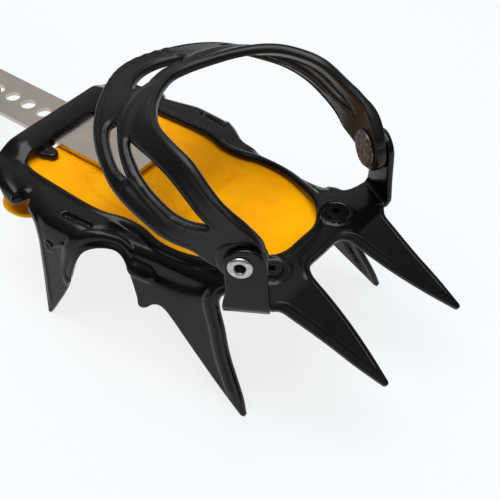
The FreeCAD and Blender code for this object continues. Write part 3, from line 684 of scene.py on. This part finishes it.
def toePost():
    # tab bent up from the crossbar, turned in 31 degrees; inner face is the pattern side
    bend, flat, foot = 1.4, 4.0, 2.85
    arc = bend * math.pi / 2
    outline = [(-4.4, 0.5), (-5.0, 2.6), (-6.6, flat + 0.6), (-7.0, flat + arc), (-6.6, flat + arc + 3),
               (-5.9, flat + arc + 6), (-5.6, flat + arc + 9)]
    top = flat + arc + (25 - foot - bend)
    ring = [(1.9 + 8.0 * math.cos(math.pi * (1 - i / 14)), top + 8.0 * math.sin(math.pi * (1 - i / 14)))
            for i in range(15)]
    right = [(10.3, top - 12), (11.0, flat + arc), (10.8, 2.5), (10.4, 0.5)]
    loop = outlineOf([outline + ring + right, [(10.4, 0.5), (-4.4, 0.5)]], 1.1)[::-1]
    hole = circle(0, top, 3.2, 18)

    def place(p):
        a, q = p[:, 0], p[:, 1]
        s = q - flat
        ang = np.clip(s / bend, 0, math.pi / 2)
        out = np.where(s < 0, s, bend * np.sin(ang)) - bend
        up = np.where(s < 0, 0, bend * (1 - np.cos(ang))) + np.maximum(s - arc, 0)
        base = postCentre - postOut * 2.5
        return (base[None] * [1, 1, 0] + postAlong * a[:, None] + postOut * out[:, None]
                + np.array([0, 0, 1.0]) * (foot + up)[:, None])

    return sheetMesh(loop, [hole], 1.3, place, 2.5, 0.3)


edgeFront = [(8, 38.5, 35), (-6, 44, 44), (-16, 43.5, 50), (-27, 41, 57), (-40, 37, 58.5), (-50, 32, 58),
             (-58, 24, 56.5), (-63, 17, 55), (-67, 9, 54), (-69.5, 0, 53.5)]
edgeRear = [(1, 43, 15), (-17, 49, 23), (-29, 55, 28), (-42, 56, 34), (-53, 54, 37.5), (-62, 50, 40),
            (-72, 43.5, 43), (-81, 34.5, 45.5), (-90, 21, 46.5), (-98, 0, 46)]
basket = {"thick": 3.5, "lugThick": 5.0, "step": 1.3, "bead": 0.55, "channel": 1.0, "rib": 0.8, "boss": 9.7}
bandLong, bandWide = 13.0, 36.0   # pattern millimetres for one station and for the full width
stations, perStation = 18, 50     # from lug to lug, and table rows between two of them
lugInset = 2.9                    # band surface behind the outer face of the post


def edgeTable(points):
    mirroredEnd = [(x, -y, z) for x, y, z in points[-2::-1]]
    pts = np.array(points + mirroredEnd, float)
    fine = np.linspace(0, len(pts) - 1, stations * perStation + 1)
    out = np.zeros((len(fine), 3))
    padded = np.vstack([2 * pts[0] - pts[1], pts, 2 * pts[-1] - pts[-2]])
    for k, v in enumerate(fine):
        i = min(int(v), len(pts) - 2)
        u = v - i
        a, b, c, d = padded[i:i + 4]
        out[k] = 0.5 * (2 * b + (c - a) * u + (2 * a - 5 * b + 4 * c - d) * u * u
                        + (3 * b - a - 3 * c + d) * u ** 3)
    return blur(out, 9)


tableFront, tableRear = edgeTable(edgeFront), edgeTable(edgeRear)


def fromLug(s):
    return np.minimum(s, stations - s)


def bandBase(p):
    # pattern y runs from 0 at the front edge to minus the full width at the rear edge
    s = np.clip(p[:, 0] / bandLong, 0, stations) * perStation
    v = -p[:, 1] / bandWide
    i = np.clip(s.astype(int), 0, stations * perStation - 1)
    f = (s - i)[:, None]
    a = tableFront[i] * (1 - f) + tableFront[i + 1] * f
    b = tableRear[i] * (1 - f) + tableRear[i + 1] * f
    at = a * (1 - v[:, None]) + b * v[:, None]
    s1 = fromLug(s / perStation)
    side = np.where(s / perStation > stations / 2, -1.0, 1.0)
    flip = np.stack([np.ones(len(s)), side, np.ones(len(s))], axis=1)
    out, centre = postOut[None] * flip, postCentre[None] * flip
    off = ((at - centre) * out).sum(1)
    flatten = 1 - smoothStep(0.4, 1.3, s1)
    return at + out * ((-lugInset - off) * flatten)[:, None]


def pivotHole(radius, side):
    # circle round the rivet, carried back into the pattern
    flip = np.array([1, side, 1.0])
    s, v = np.meshgrid(np.linspace(0, 1.2, 121), np.linspace(0.1, 0.9, 161))
    pattern = np.array(bandPoints(list(zip(s.ravel(), v.ravel())), side < 0))
    away = np.linalg.norm(bandBase(pattern) - (postCentre - lugInset * postOut) * flip, axis=1)
    at = pattern[np.argmin(away)][None]
    e = 0.2
    du = (bandBase(at + [e, 0]) - bandBase(at - [e, 0]))[0] / (2 * e)
    dv = (bandBase(at + [0, e]) - bandBase(at - [0, e]))[0] / (2 * e)
    along, up = postAlong * flip, np.array([0, 0, 1.0])
    back = np.linalg.inv(np.array([[du @ along, dv @ along], [du @ up, dv @ up]]))
    return at + circle(0, 0, radius, 24) @ back.T


def bandThickness(p):
    s1 = fromLug(p[:, 0] / bandLong)
    return basket["thick"] + (basket["lugThick"] - basket["thick"]) * (1 - smoothStep(0.6, 1.4, s1))


def bandPoints(points, mirror=False):
    return [((stations - s if mirror else s) * bandLong, -v * bandWide) for s, v in points]


def buildToeBasket():
    lug = [(1.2, 0.0), (0.6, 0.03), (0.18, 0.14), (-0.02, 0.32), (-0.06, 0.5), (-0.02, 0.7), (0.16, 0.88),
           (0.55, 0.985), (1.1, 1.0)]
    lower = spaced(np.array(bandPoints([(1.1, 1.0), (16.9, 1.0)])), 1.2)
    upper = spaced(np.array(bandPoints([(16.8, 0.0), (1.2, 0.0)])), 1.2)
    loop = np.vstack([spline(bandPoints(lug), 1.2), lower[1:-1], spline(bandPoints(lug, True), 1.2)[::-1],
                      upper[1:-1]])
    gapWide = [[(1.25, 0.425), (1.6, 0.41), (2.1, 0.375), (3, 0.355), (4, 0.365), (4.8, 0.42), (5.25, 0.455)],
               [(5.25, 0.455), (4.85, 0.5), (4.3, 0.55), (3.6, 0.605), (3, 0.635), (2.3, 0.62), (1.7, 0.54),
                (1.25, 0.425)]]
    gapThin = [[(4.0, 0.745), (4.7, 0.70), (5.4, 0.655), (6.0, 0.63), (6.35, 0.625)],
               [(6.35, 0.625), (6.52, 0.66), (6.5, 0.73), (6.3, 0.765), (5.4, 0.79), (4.7, 0.79),
                (4.0, 0.745)]]
    holes = [outlineOf([bandPoints(run, mirror) for run in gap], 1.1)
             for gap in (gapWide, gapThin) for mirror in (False, True)]
    window = [(8.14, 0.32), (8.5, 0.285), (9, 0.275), (9.5, 0.285), (9.86, 0.32), (9.96, 0.42), (9.86, 0.51),
              (9.5, 0.545), (9, 0.55), (8.5, 0.545), (8.14, 0.51), (8.04, 0.42)]
    holes.append(spline(bandPoints(window), 1.1, closed=True))
    borders = [np.vstack([h, h[:1]]) for h in holes + [loop]]
    holes += [pivotHole(3.15, side) for side in (1, -1)]

    def lift(p):
        s = p[:, 0] / bandLong
        s1 = fromLug(s)
        v = -p[:, 1] / bandWide
        d = np.min([distanceTo(p, b) for b in borders], axis=0)
        h = basket["bead"] * bell(d, 1.9, 1.1) * smoothStep(0.9, 1.6, s1)
        # raised middle strand running up over the web
        ridge = np.interp(s1, [1, 2, 3, 4, 5, 6, 7, 8, 9],
                          [0.8, 0.76, 0.75, 0.66, 0.57, 0.46, 0.34, 0.2, 0.14])
        crest = 0.9 * bell((v - ridge) * bandWide, 0, 4.2)
        h += crest * smoothStep(4.2, 5.4, s1) * (1 - smoothStep(7.6, 8.4, s1))
        # hollow that carries on from the thin gap towards the lug
        hollow = np.interp(s1, [1.6, 4.0], [0.8, 0.75])
        h -= (basket["channel"] * bell((v - hollow) * bandWide, 0, 2.0) * smoothStep(1.9, 2.8, s1)
              * (1 - smoothStep(3.7, 4.1, s1)))
        # grip ribs near the middle of the rear bridge
        ribs = basket["rib"] * np.maximum(np.sin(p[:, 0] / 2.5 * 2 * math.pi), 0)
        h += ribs * smoothStep(8.0, 8.2, s) * (1 - smoothStep(9.8, 10.0, s)) * bell(v, 0.86, 0.12)
        return h + 0.5 * (smoothStep(0, 6, d) - 0.4) * smoothStep(1.2, 2.2, s1) + 1.3 * smoothStep(2, 4.5, s1)

    surface = offsetSurface(bandBase, lift)
    parts = [sheetMesh(loop, holes, basket["step"], surface, bandThickness, 1.1, 0.85, 7)]
    r = basket["boss"]
    for side in (1, -1):
        flip = np.array([1, side, 1.0])
        parts.append(lathe([(-7.9, 3.15), (-7.9, r - 1.2), (-7.5, r - 0.4), (-6.6, r), (-4.0, r),
                            (-3.2, r - 0.4), (-2.85, r - 1.2), (-2.85, 3.15)], postCentre * flip,
                           postOut * flip, 64))
    meshObject("toe_basket_moulded", parts, frontOrigin, "toe_basket_body", tpu, ["toe_basket"])


plateForm = {"thick": 1.8, "step": 1.3, "pocket": 1.7, "leaf": 0.9}


def buildFrontPlate():
    body = [(-4.6, 0), (-4.6, 9), (-1, 14.6), (1.2, 18), (1.2, 23.5), (-2.4, 27.2), (-10, 27), (-18, 27),
            (-38, 34), (-50, 35), (-70, 35), (-82, 37.4), (-106, 37.4), (-112.4, 38.4), (-115.6, 41.4),
            (-119.6, 44.6), (-125, 46), (-131, 45.2), (-135, 42), (-136.6, 37), (-137.8, 31), (-138, 26),
            (-137.4, 19.6), (-135, 18), (-132, 17), (-131.4, 0)]
    outline = fullLoop(spline(body, 1.6))

    def place(p):
        x, y = p[:, 0], np.abs(p[:, 1])
        z = -3.1 - 11.4 * smoothStep(34.5, 40.5, y) * (1 - smoothStep(-111, -106, x))
        z = z + 3.1 * smoothStep(-17, -7, x)   # rises to sit against the front crossbar
        # D-shaped pocket near the front, deepest at its straight rear edge
        arc = -45 + np.sqrt(np.maximum(576 - y * y, 0))
        slope = np.clip(1 - (x + 58) / np.maximum(arc + 58, 1), 0, 1) * (x > -58) * (y < 23.8)
        z -= plateForm["pocket"] * slope * smoothStep(-58.8, -57.4, x)
        # pair of leaves behind it, each with a keel
        leaf = np.hypot((x + 84) / 25, (y - 15) / 10.5)
        z = z - plateForm["leaf"] * (1 - smoothStep(0.9, 1.0, leaf))
        z = z + 0.5 * bell(y - 15, 0, 2.5) * (leaf < 0.9)
        z = z - 0.6 * (1 - smoothStep(0.55, 0.62, np.hypot((x + 36) / 17, y / 17)))
        return np.stack([p[:, 0], p[:, 1], z], axis=1)

    holes = [circle(eyeletX, side * eyeletY, 2.8, 20) for side in (-1, 1)]
    parts = [sheetMesh(outline, holes, plateForm["step"], place, plateForm["thick"], 0.5)]
    for side in (-1, 1):
        parts.append(lathe([(0, 5.4), (3.0, 5.4), (3.2, 5.0), (3.2, 2.8), (0, 2.8)],
                           (eyeletX, side * eyeletY, -3.4), (0, 0, 1)))
    meshObject("front_snow_plate", parts, frontOrigin, "front_part", elastomer, ["front_antiball_plate"])


def buildHeelPlate():
    body = [(-180, 0), (-180, 26), (-182, 30), (-192, 31), (-222, 29.5), (-262, 28), (-269, 25.5),
            (-271, 20), (-271, 0)]
    outline = fullLoop(spline(body, 1.8))

    def place(p):
        r = np.hypot((p[:, 0] + 234) / 26, p[:, 1] / 17)
        z = -5.8 - 0.9 * bell(r, 1.0, 0.06) - 0.5 * (1 - smoothStep(0.8, 0.95, r))
        for x in (-185, -269):
            for side in (-1, 1):
                d = np.hypot(p[:, 0] - x, p[:, 1] - side * 20.5)
                z = z + 2.7 * (1 - smoothStep(4.2, 6.2, d))
        return np.stack([p[:, 0], p[:, 1], z], axis=1)

    meshObject("heel_snow_plate",
               [sheetMesh(outline, [], plateForm["step"], place, plateForm["thick"], 0.5)], heelOrigin,
               "heel_part", elastomer, ["heel_antiball_plate"])


def buildHeelFrame():
    rail = FormedRail(-282, -174, [(-282, 0, 31, 38), (-276, 0, 31, 38), (-255, 0, 34, 41), (-225, 0, 36, 41),
                                   (-195, 0, 38, 45), (-174, 0, 37, 45)])
    step = heelForm["step"] * 0.75
    frontEdge = [(-178, 0), (-178, 26), (-179, 33), (-182, 38)]
    foreFront = rail.blade([(-182, -7), (-184, -8.4), (-187, -14), (-189.5, -26), (-193, -42), (-195.5, -53)])
    foreRear = rail.blade([(-196.8, -53), (-198.6, -46), (-203, -32), (-208, -18), (-213, -10.4),
                           (-222, -7.8), (-236, -7.8), (-245, -9.4), (-251, -14), (-256, -26), (-262, -42),
                           (-266.4, -53)])
    aftRear = rail.blade([(-267.8, -53), (-269, -44), (-271, -30), (-273, -14), (-275.2, -7)])
    back = [(-275.2, rail.across(-275, -7)), (-276, 30), (-276, 0)]
    half = outlineOf([frontEdge, [frontEdge[-1], foreFront[0]], foreFront, [foreFront[-1], foreRear[0]],
                      foreRear, [foreRear[-1], aftRear[0]], aftRear, back], step)
    half = half[half[:, 1] > 0.3 * step]
    outline = fullLoop(np.vstack([[(-178, 0.0)], half, [(-276, 0.0)]]))
    openHalf = spline([(-192, 0), (-192.2, 14), (-195, 22), (-204, 26.6), (-222, 26), (-240, 25),
                       (-255, 23.4), (-260.6, 18), (-262, 9), (-262, 0)], step)
    edges = [spline(foreRear, 1), spline(foreFront, 1), spline(aftRear, 1)]

    def lift(p):
        q = p * [1, 0] + np.abs(p * [0, 1])
        x, w = q[:, 0], q[:, 1]
        z = rail.base(q)[:, 2]
        d = distanceTo(q, edges[0])
        h = heelForm["beadHeight"] * bell(d, 4.6, 1.6) * (w > 29) * smoothStep(-49, -38, z)
        d = np.minimum(distanceTo(q, edges[1]), distanceTo(q, edges[2]))
        h += 0.5 * bell(d, 2.4, 0.8) * (w > 29) * smoothStep(-50, -42, z)
        dOpen = distanceTo(q, openHalf)
        h += 0.6 * bell(dOpen, 1.5, 1.2)
        over = np.interp(x, [-193, -191.5, -190, -185, -180, -178.5, -177],
                         [2.4, 3.2, 3.8, 4.2, 3.8, 3.2, 2.4])
        h += over * smoothStep(-194.5, -192.5, x) * (1 - smoothStep(20, 30, w))
        back = 3.7 * (1 - smoothStep(-263, -260.5, x)) * (1 - smoothStep(18, 27, w))
        return h + back

    def thick(p):
        bar = smoothStep(-194.5, -192.5, p[:, 0]) * (1 - smoothStep(14, 20, np.abs(p[:, 1])))
        return heelForm["steel"] - 0.9 * bar

    def tabAt(p):
        return np.stack([p[:, 0], p[:, 1], np.full(len(p), -0.2)], axis=1)

    # sheet, keeper under the bar, posts, and the tabs that carry the latch
    parts = [sheetMesh(outline, [fullLoop(openHalf)], heelForm["step"], offsetSurface(rail.base, lift), thick,
                       heelForm["cutEdge"])]
    parts.append(sheetMesh(rectangle(-190, -17, -180, 17), [], 1.5, keeperAt(3.6), 1.8, 0.3))
    parts += bothSides(heelPost())
    parts += bothSides(sheetMesh(rectangle(-230, 15.3, -218, 29), [], 1.5, tabAt, 2.2, 0.3))
    meshObject("heel_frame_formed", parts, heelOrigin, "heel_part", enamel, ["heel_frame"])


def heelPost():
    # ear bent straight up from the rail
    cx, cz, bend = heelPivot[0], heelPivot[2], 2.0
    arc = bend * math.pi / 2
    flat = 9.0
    top = flat + arc + (cz - bend)
    ring = [(cx + 9 * math.cos(a), top + 9 * math.sin(a)) for a in np.linspace(math.pi, 0, 15)]
    left = [(cx - 13, 0.5), (cx - 12, 5), (cx - 10.2, flat + arc + 4)]
    right = [(cx + 10.2, flat + arc + 4), (cx + 12, 5), (cx + 13, 0.5)]
    pts = left + ring + right
    loop = outlineOf([pts, [pts[-1], pts[0]]], 1.2)
    hole = circle(cx, top, 3.2, 18)

    def place(p):
        s = p[:, 1] - flat
        ang = np.clip(s / bend, 0, math.pi / 2)
        y = heelPivot[1] - 2.5 - bend + np.where(s < 0, s, bend * np.sin(ang))
        z = np.where(s < 0, 0, bend * (1 - np.cos(ang))) + np.maximum(s - arc, 0)
        return np.stack([p[:, 0], y, z], axis=1)

    return sheetMesh(loop, [hole], 1.4, place, 2.5, 0.3)


heelCup = {"thick": 4.0, "step": 2.0}


def buildHeelBasket():
    path = [(-228, 35.15, 27), (-238, 35.15, 30), (-250, 35.6, 34), (-262, 34, 38), (-273, 28, 42),
            (-280, 18, 45), (-283.5, 7, 47), (-284, 0, 47)]
    tall = [8, 9, 10.5, 11, 10.5, 10, 10, 10]
    lean = [0, 0, 1, 2, 3, 3.6, 4, 4]
    rows = [tuple(p) + (h, k) for p, h, k in zip(path, tall, lean)]
    rows += [(x, -y, z, h, k) for x, y, z, h, k in rows[-2::-1]]
    line = spline(rows, 1.0)
    d = np.concatenate([[0], np.cumsum(np.linalg.norm(np.diff(line[:, :3], axis=0), axis=1))])
    along = np.gradient(line[:, :3], axis=0)
    along[:, 2] = 0
    along /= np.linalg.norm(along, axis=1)[:, None]
    out = np.stack([along[:, 1], -along[:, 0], np.zeros(len(along))], axis=1)
    total = d[-1]

    def base(p):
        s = np.clip(p[:, 0], -12, total + 12)
        i = np.clip(s, 0, total)
        c = np.stack([np.interp(i, d, line[:, k]) for k in range(3)], axis=1)
        h, k = np.interp(i, d, line[:, 3]), np.interp(i, d, line[:, 4])
        o = np.stack([np.interp(i, d, out[:, m]) for m in range(3)], axis=1)
        o /= np.linalg.norm(o, axis=1)[:, None]
        f = -p[:, 1] / 10.0     # -1 foot, 1 head
        c = c + np.stack([i - s, i * 0, i * 0], axis=1) * np.where(s < 0, -1, 1)[:, None]
        return c + np.array([0, 0, 1.0]) * (f * h)[:, None] + o * (np.maximum(f + 1, 0) / 2 * k)[:, None]

    ends = spline([(8, -10), (-1, -9.7), (-7, -6.4), (-9.2, 0), (-7, 6.4), (-1, 9.7), (8, 10)], 1.4)
    right = np.stack([total - ends[::-1, 0], ends[::-1, 1]], axis=1)
    lower = spaced(np.array([(8.0, 10.0), (total - 8, 10.0)]), 1.4)
    upper = spaced(np.array([(total - 8, -10.0), (8.0, -10.0)]), 1.4)
    loop = np.vstack([ends, lower[1:-1], right, upper[1:-1]])
    window = [(-17, 0), (-14, -3.4), (0, -4.2), (14, -3.4), (17, 0), (14, 3.0), (0, 3.4), (-14, 3.0)]
    window = spline([(total / 2 + x, y) for x, y in window], 1.2, closed=True)
    borders = [np.vstack([loop, loop[:1]]), np.vstack([window, window[:1]])]

    def lift(p):
        dd = np.min([distanceTo(p, b) for b in borders], axis=0)
        return 0.35 * bell(dd, 1.8, 1.0) + heelCup["thick"] / 2 - 0.4

    parts = [sheetMesh(loop, [window], heelCup["step"], offsetSurface(base, lift), heelCup["thick"] - 0.4,
                       1.0, 0.85, 6)]
    ear = [(-260.5, 38), (-241, 38), (-234.4, 48), (-234.8, 62), (-238, 66.6), (-255, 66.6), (-258.4, 63),
           (-260, 50), (-262, 44)]
    earLoop = spline(ear, 1.4, closed=True)
    slot = spline([(-257, 56), (-255.8, 55.4), (-238, 55.4), (-236.8, 56), (-236.6, 58.8), (-238, 59.6),
                   (-255.8, 59.6), (-257, 58.8)], 1.0, closed=True)
    for y in (33.15, -37.0):
        def earAt(p):
            return np.stack([p[:, 0], np.full(len(p), y), p[:, 1]], axis=1)
        v, f = sheetMesh(earLoop, [slot], 1.8, earAt, 3.8, 0.9, 0.85, 6)
        v[:, 1] += 37.0 - v[:, 1].max() if y > 0 else -37.0 - v[:, 1].min()   # outer face at 37
        parts.append((v, f))
    meshObject("heel_basket_moulded", parts, heelOrigin, "heel_basket_body", tpu, ["heel_basket"])


rivetShape = {"ring": 4.8, "hole": 2.15, "stand": 1.2, "disc": 7.8}


def eyeletRing(inner, outer, height):
    # rolled eyelet: throat, domed lip, skirt
    mid = (inner + outer) / 2
    return [(-2.4, inner), (height * 0.55, inner), (height * 0.9, inner + 0.45), (height, mid),
            (height * 0.85, outer - 0.45), (height * 0.35, outer), (-0.2, outer), (-2.4, outer - 1.5)]


def hollowRivet(centre, out, depth, bore):
    # rolled ring outside the post and the tube behind it
    ring = lathe(eyeletRing(rivetShape["hole"], rivetShape["ring"], rivetShape["stand"]), centre, out)
    return [ring, lathe([(-depth, bore), (1.0, bore), (1.0, 3.0), (-depth, 3.0)], centre, out)]


def buildToeRivets():
    for side, word in ((1, "left"), (-1, "right")):
        flip = np.array([1, side, 1.0])
        out, centre = postOut * flip, postCentre * flip
        meshObject("toe_rivet_" + word, hollowRivet(centre, out, 8.8, 2.5), frontOrigin, "front_part",
                   nickel, ["toe_basket_rivet_" + word])
        bore = lathe([(-5.4, 0.01), (-5.0, 0.01), (-5.0, 2.05), (0.5, 2.05), (0.5, 2.45), (-5.4, 2.45)],
                     centre, out)
        meshObject("toe_rivet_bore_" + word, [bore], frontOrigin, "front_part", enamel)
        r = rivetShape["disc"]
        disc = lathe([(-8.1, 0.01), (-9.35, 0.01), (-9.5, 2.0), (-9.55, r - 1.5), (-9.4, r - 0.5), (-8.9, r),
                      (-8.1, r - 0.2)], centre, out)
        meshObject("toe_rivet_disc_" + word, [disc], frontOrigin, "front_part", darkRivet)


def buildHeelRivets():
    for side, word in ((1, "left"), (-1, "right")):
        centre, out = heelPivot * [1, side, 1], np.array([0, side, 0.0])
        disc = lathe([(-7.2, 2.15), (-8.3, 2.15), (-8.6, 3.4), (-8.5, 6.4), (-8.0, 7.1), (-7.2, 7.0)],
                     centre, out)
        meshObject("heel_rivet_" + word, hollowRivet(centre, out, 8.4, 2.15) + [disc], heelOrigin,
                   "heel_part", nickel, ["heel_basket_rivet_" + word])


strapSize = {"width": 19.0, "thick": 1.6}


def strapLeg(side):
    pts = [(30.9, 74), (30.9, 60), (31.6, 58), (33.4, 57.5), (36.9, 57.5), (38.7, 58), (39.4, 60), (39.4, 70)]
    return [(-246.7, side * y, z) for y, z in pts]


def buildStraps():
    width, thick = strapSize["width"], strapSize["thick"]
    main = [(-246.7, 39.4, 68), (-243, 41, 74), (-234, 43, 82), (-218, 44, 88), (-200, 41, 93),
            (-184, 31, 97), (-174, 16, 99.5), (-171, 0, 100), (-174, -16, 99.5), (-184, -31, 97),
            (-200, -41, 93), (-212, -43.2, 90), (-218.5, -43.9, 88), (-220.9, -45.2, 87.1),
            (-221.5, -46.8, 86.9), (-220.7, -48.4, 87.2), (-218.3, -49.5, 88), (-212, -50.4, 89.9),
            (-200, -50.4, 92), (-186, -50.4, 90)]
    mainAcross = [(1, 0, 0), (0.9, 0.05, -0.4), (0.5, 0.1, -0.85), (0.3, 0.1, -0.95), (0.25, 0.15, -0.96),
                  (0.2, 0.2, -0.96), (0.3, 0.1, -0.95), (0.3, 0, -0.95), (0.3, -0.1, -0.95),
                  (0.2, -0.2, -0.96), (0.25, -0.15, -0.96), (0.33, -0.05, -0.94)]
    mainAcross += [(0.33, 0, -0.94)] * 6 + [(0.3, 0, -0.95), (0.1, 0, -1)]
    parts = [ribbonMesh(main, mainAcross, width, thick),
             ribbonMesh(strapLeg(1), [(1, 0, 0)] * 8, width, thick)]
    meshObject("ankle_webbing", parts, heelOrigin, "heel_basket_body", webbing, ["ankle_strap"])
    short = [(-246.7, -39.4, 68), (-243, -41, 74), (-236, -43, 80), (-230, -44.5, 84), (-227.5, -46.5, 85),
             (-230, -48.3, 84), (-237, -46.6, 79.5)]
    shortAcross = [(-1, 0, 0), (-0.9, 0.05, 0.4), (-0.5, 0.1, 0.85), (-0.35, 0, 0.94), (-0.35, 0, 0.94),
                   (-0.35, 0, 0.94), (-0.5, 0, 0.86)]
    parts = [ribbonMesh(short, shortAcross, width, 1.4),
             ribbonMesh(strapLeg(-1), [(-1, 0, 0)] * 8, width, 1.4)]
    meshObject("buckle_webbing", parts, heelOrigin, "heel_basket_body", webbing, ["buckle_strap"])


buildFrontFrame()
print("front frame formed")
buildToeBasket()
print("toe basket moulded")
buildFrontPlate()
buildHeelPlate()
print("snow plates made")
buildHeelFrame()
print("heel frame formed")
buildHeelBasket()
buildToeRivets()
buildHeelRivets()
buildStraps()
print("heel basket, rivets and straps made")

cadFinish = {"link_bar": springSteel, "front_antiball_eyelets": enamel, "heel_antiball_eyelets": enamel,
             "latch_bracket": enamel, "latch_bracket_rivets": nickel, "latch_lever": latchSteel,
             "latch_stud": nickel, "latch_axle": nickel, "latch_spring": nickel, "strap_ring": nickel}
for name, material in cadFinish.items():
    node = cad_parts[name]
    node.data.materials.clear()
    node.data.materials.append(material)
print("kept metal parts finished")


def areaLight(name, at, target, size, power, colour):
    data = bpy.data.lights.new(name, "AREA")
    data.shape, data.size, data.size_y, data.energy, data.color = "RECTANGLE", size[0], size[1], power, colour
    lamp = bpy.data.objects.new(name, data)
    bpy.context.scene.collection.objects.link(lamp)
    lamp.location = at
    lamp.rotation_euler = (Vector(target) - Vector(at)).to_track_quat("-Z", "Y").to_euler()


studio = {"horizon": 0.01, "zenith": 0.34, "floor": "6c6e70", "floorGlow": 0.84, "back": 2.4, "top": 22.0}

floorMesh = bpy.data.meshes.new("floor")
floorMesh.from_pydata([(-20, -20, 0), (20, -20, 0), (20, 20, 0), (-20, 20, 0)], [], [(0, 1, 2, 3)])
floor = bpy.data.objects.new("floor", floorMesh)
bpy.context.scene.collection.objects.link(floor)
floor.location.z = cadBox[0].z - 0.0004
floorPaper = newMaterial("white_backdrop_paper", Roughness=0.85, Base_Color=linear(studio["floor"]),
                         Specular_IOR_Level=0.0, Emission_Color=linear("f7fafc"),
                         Emission_Strength=studio["floorGlow"])[0]
floorMesh.materials.append(floorPaper)

# dark room near the horizon, pale ceiling
world = bpy.data.worlds.new("studio")
bpy.context.scene.world = world
world.use_nodes = True
sky = world.node_tree
toward = addNode(sky, "ShaderNodeTexCoord")
height = addNode(sky, "ShaderNodeSeparateXYZ", links={"Vector": toward.outputs["Generated"]})
addNode(sky, rampNode, links={"Fac": height.outputs["Z"]}, to=sky.nodes["Background"].inputs["Color"],
        stops=[(0.05, grey(studio["horizon"])), (0.75, grey(studio["zenith"]))])
areaLight("softbox_back_left", (-0.70, 0.90, 1.02), (0.0, 0, 0.05), (1.7, 1.4), studio["back"],
          (1, 0.995, 0.98))
areaLight("softbox_top", (0.0, -0.1, 1.5), (0.05, 0, 0), (1.2, 1.2), studio["top"], (1, 1, 1))

view = {"place": (0.3343, -0.2909, 0.3707), "back": (0.4571, -0.5830, 0.6717), "lens": 86.42}
camera = bpy.data.objects.new("camera", bpy.data.cameras.new("camera"))
bpy.context.scene.collection.objects.link(camera)
camera.data.lens, camera.data.sensor_width = view["lens"], 36
camera.data.clip_start, camera.data.clip_end = 0.02, 20
z = Vector(view["back"]).normalized()
x = Vector((0, 0, 1)).cross(z).normalized()
y = z.cross(x)
camera.matrix_world = Matrix.Translation(view["place"]) @ Matrix((x, y, z)).transposed().to_4x4()
bpy.context.scene.camera = camera
bpy.context.scene.view_settings.view_transform = "Standard"
print("studio ready")
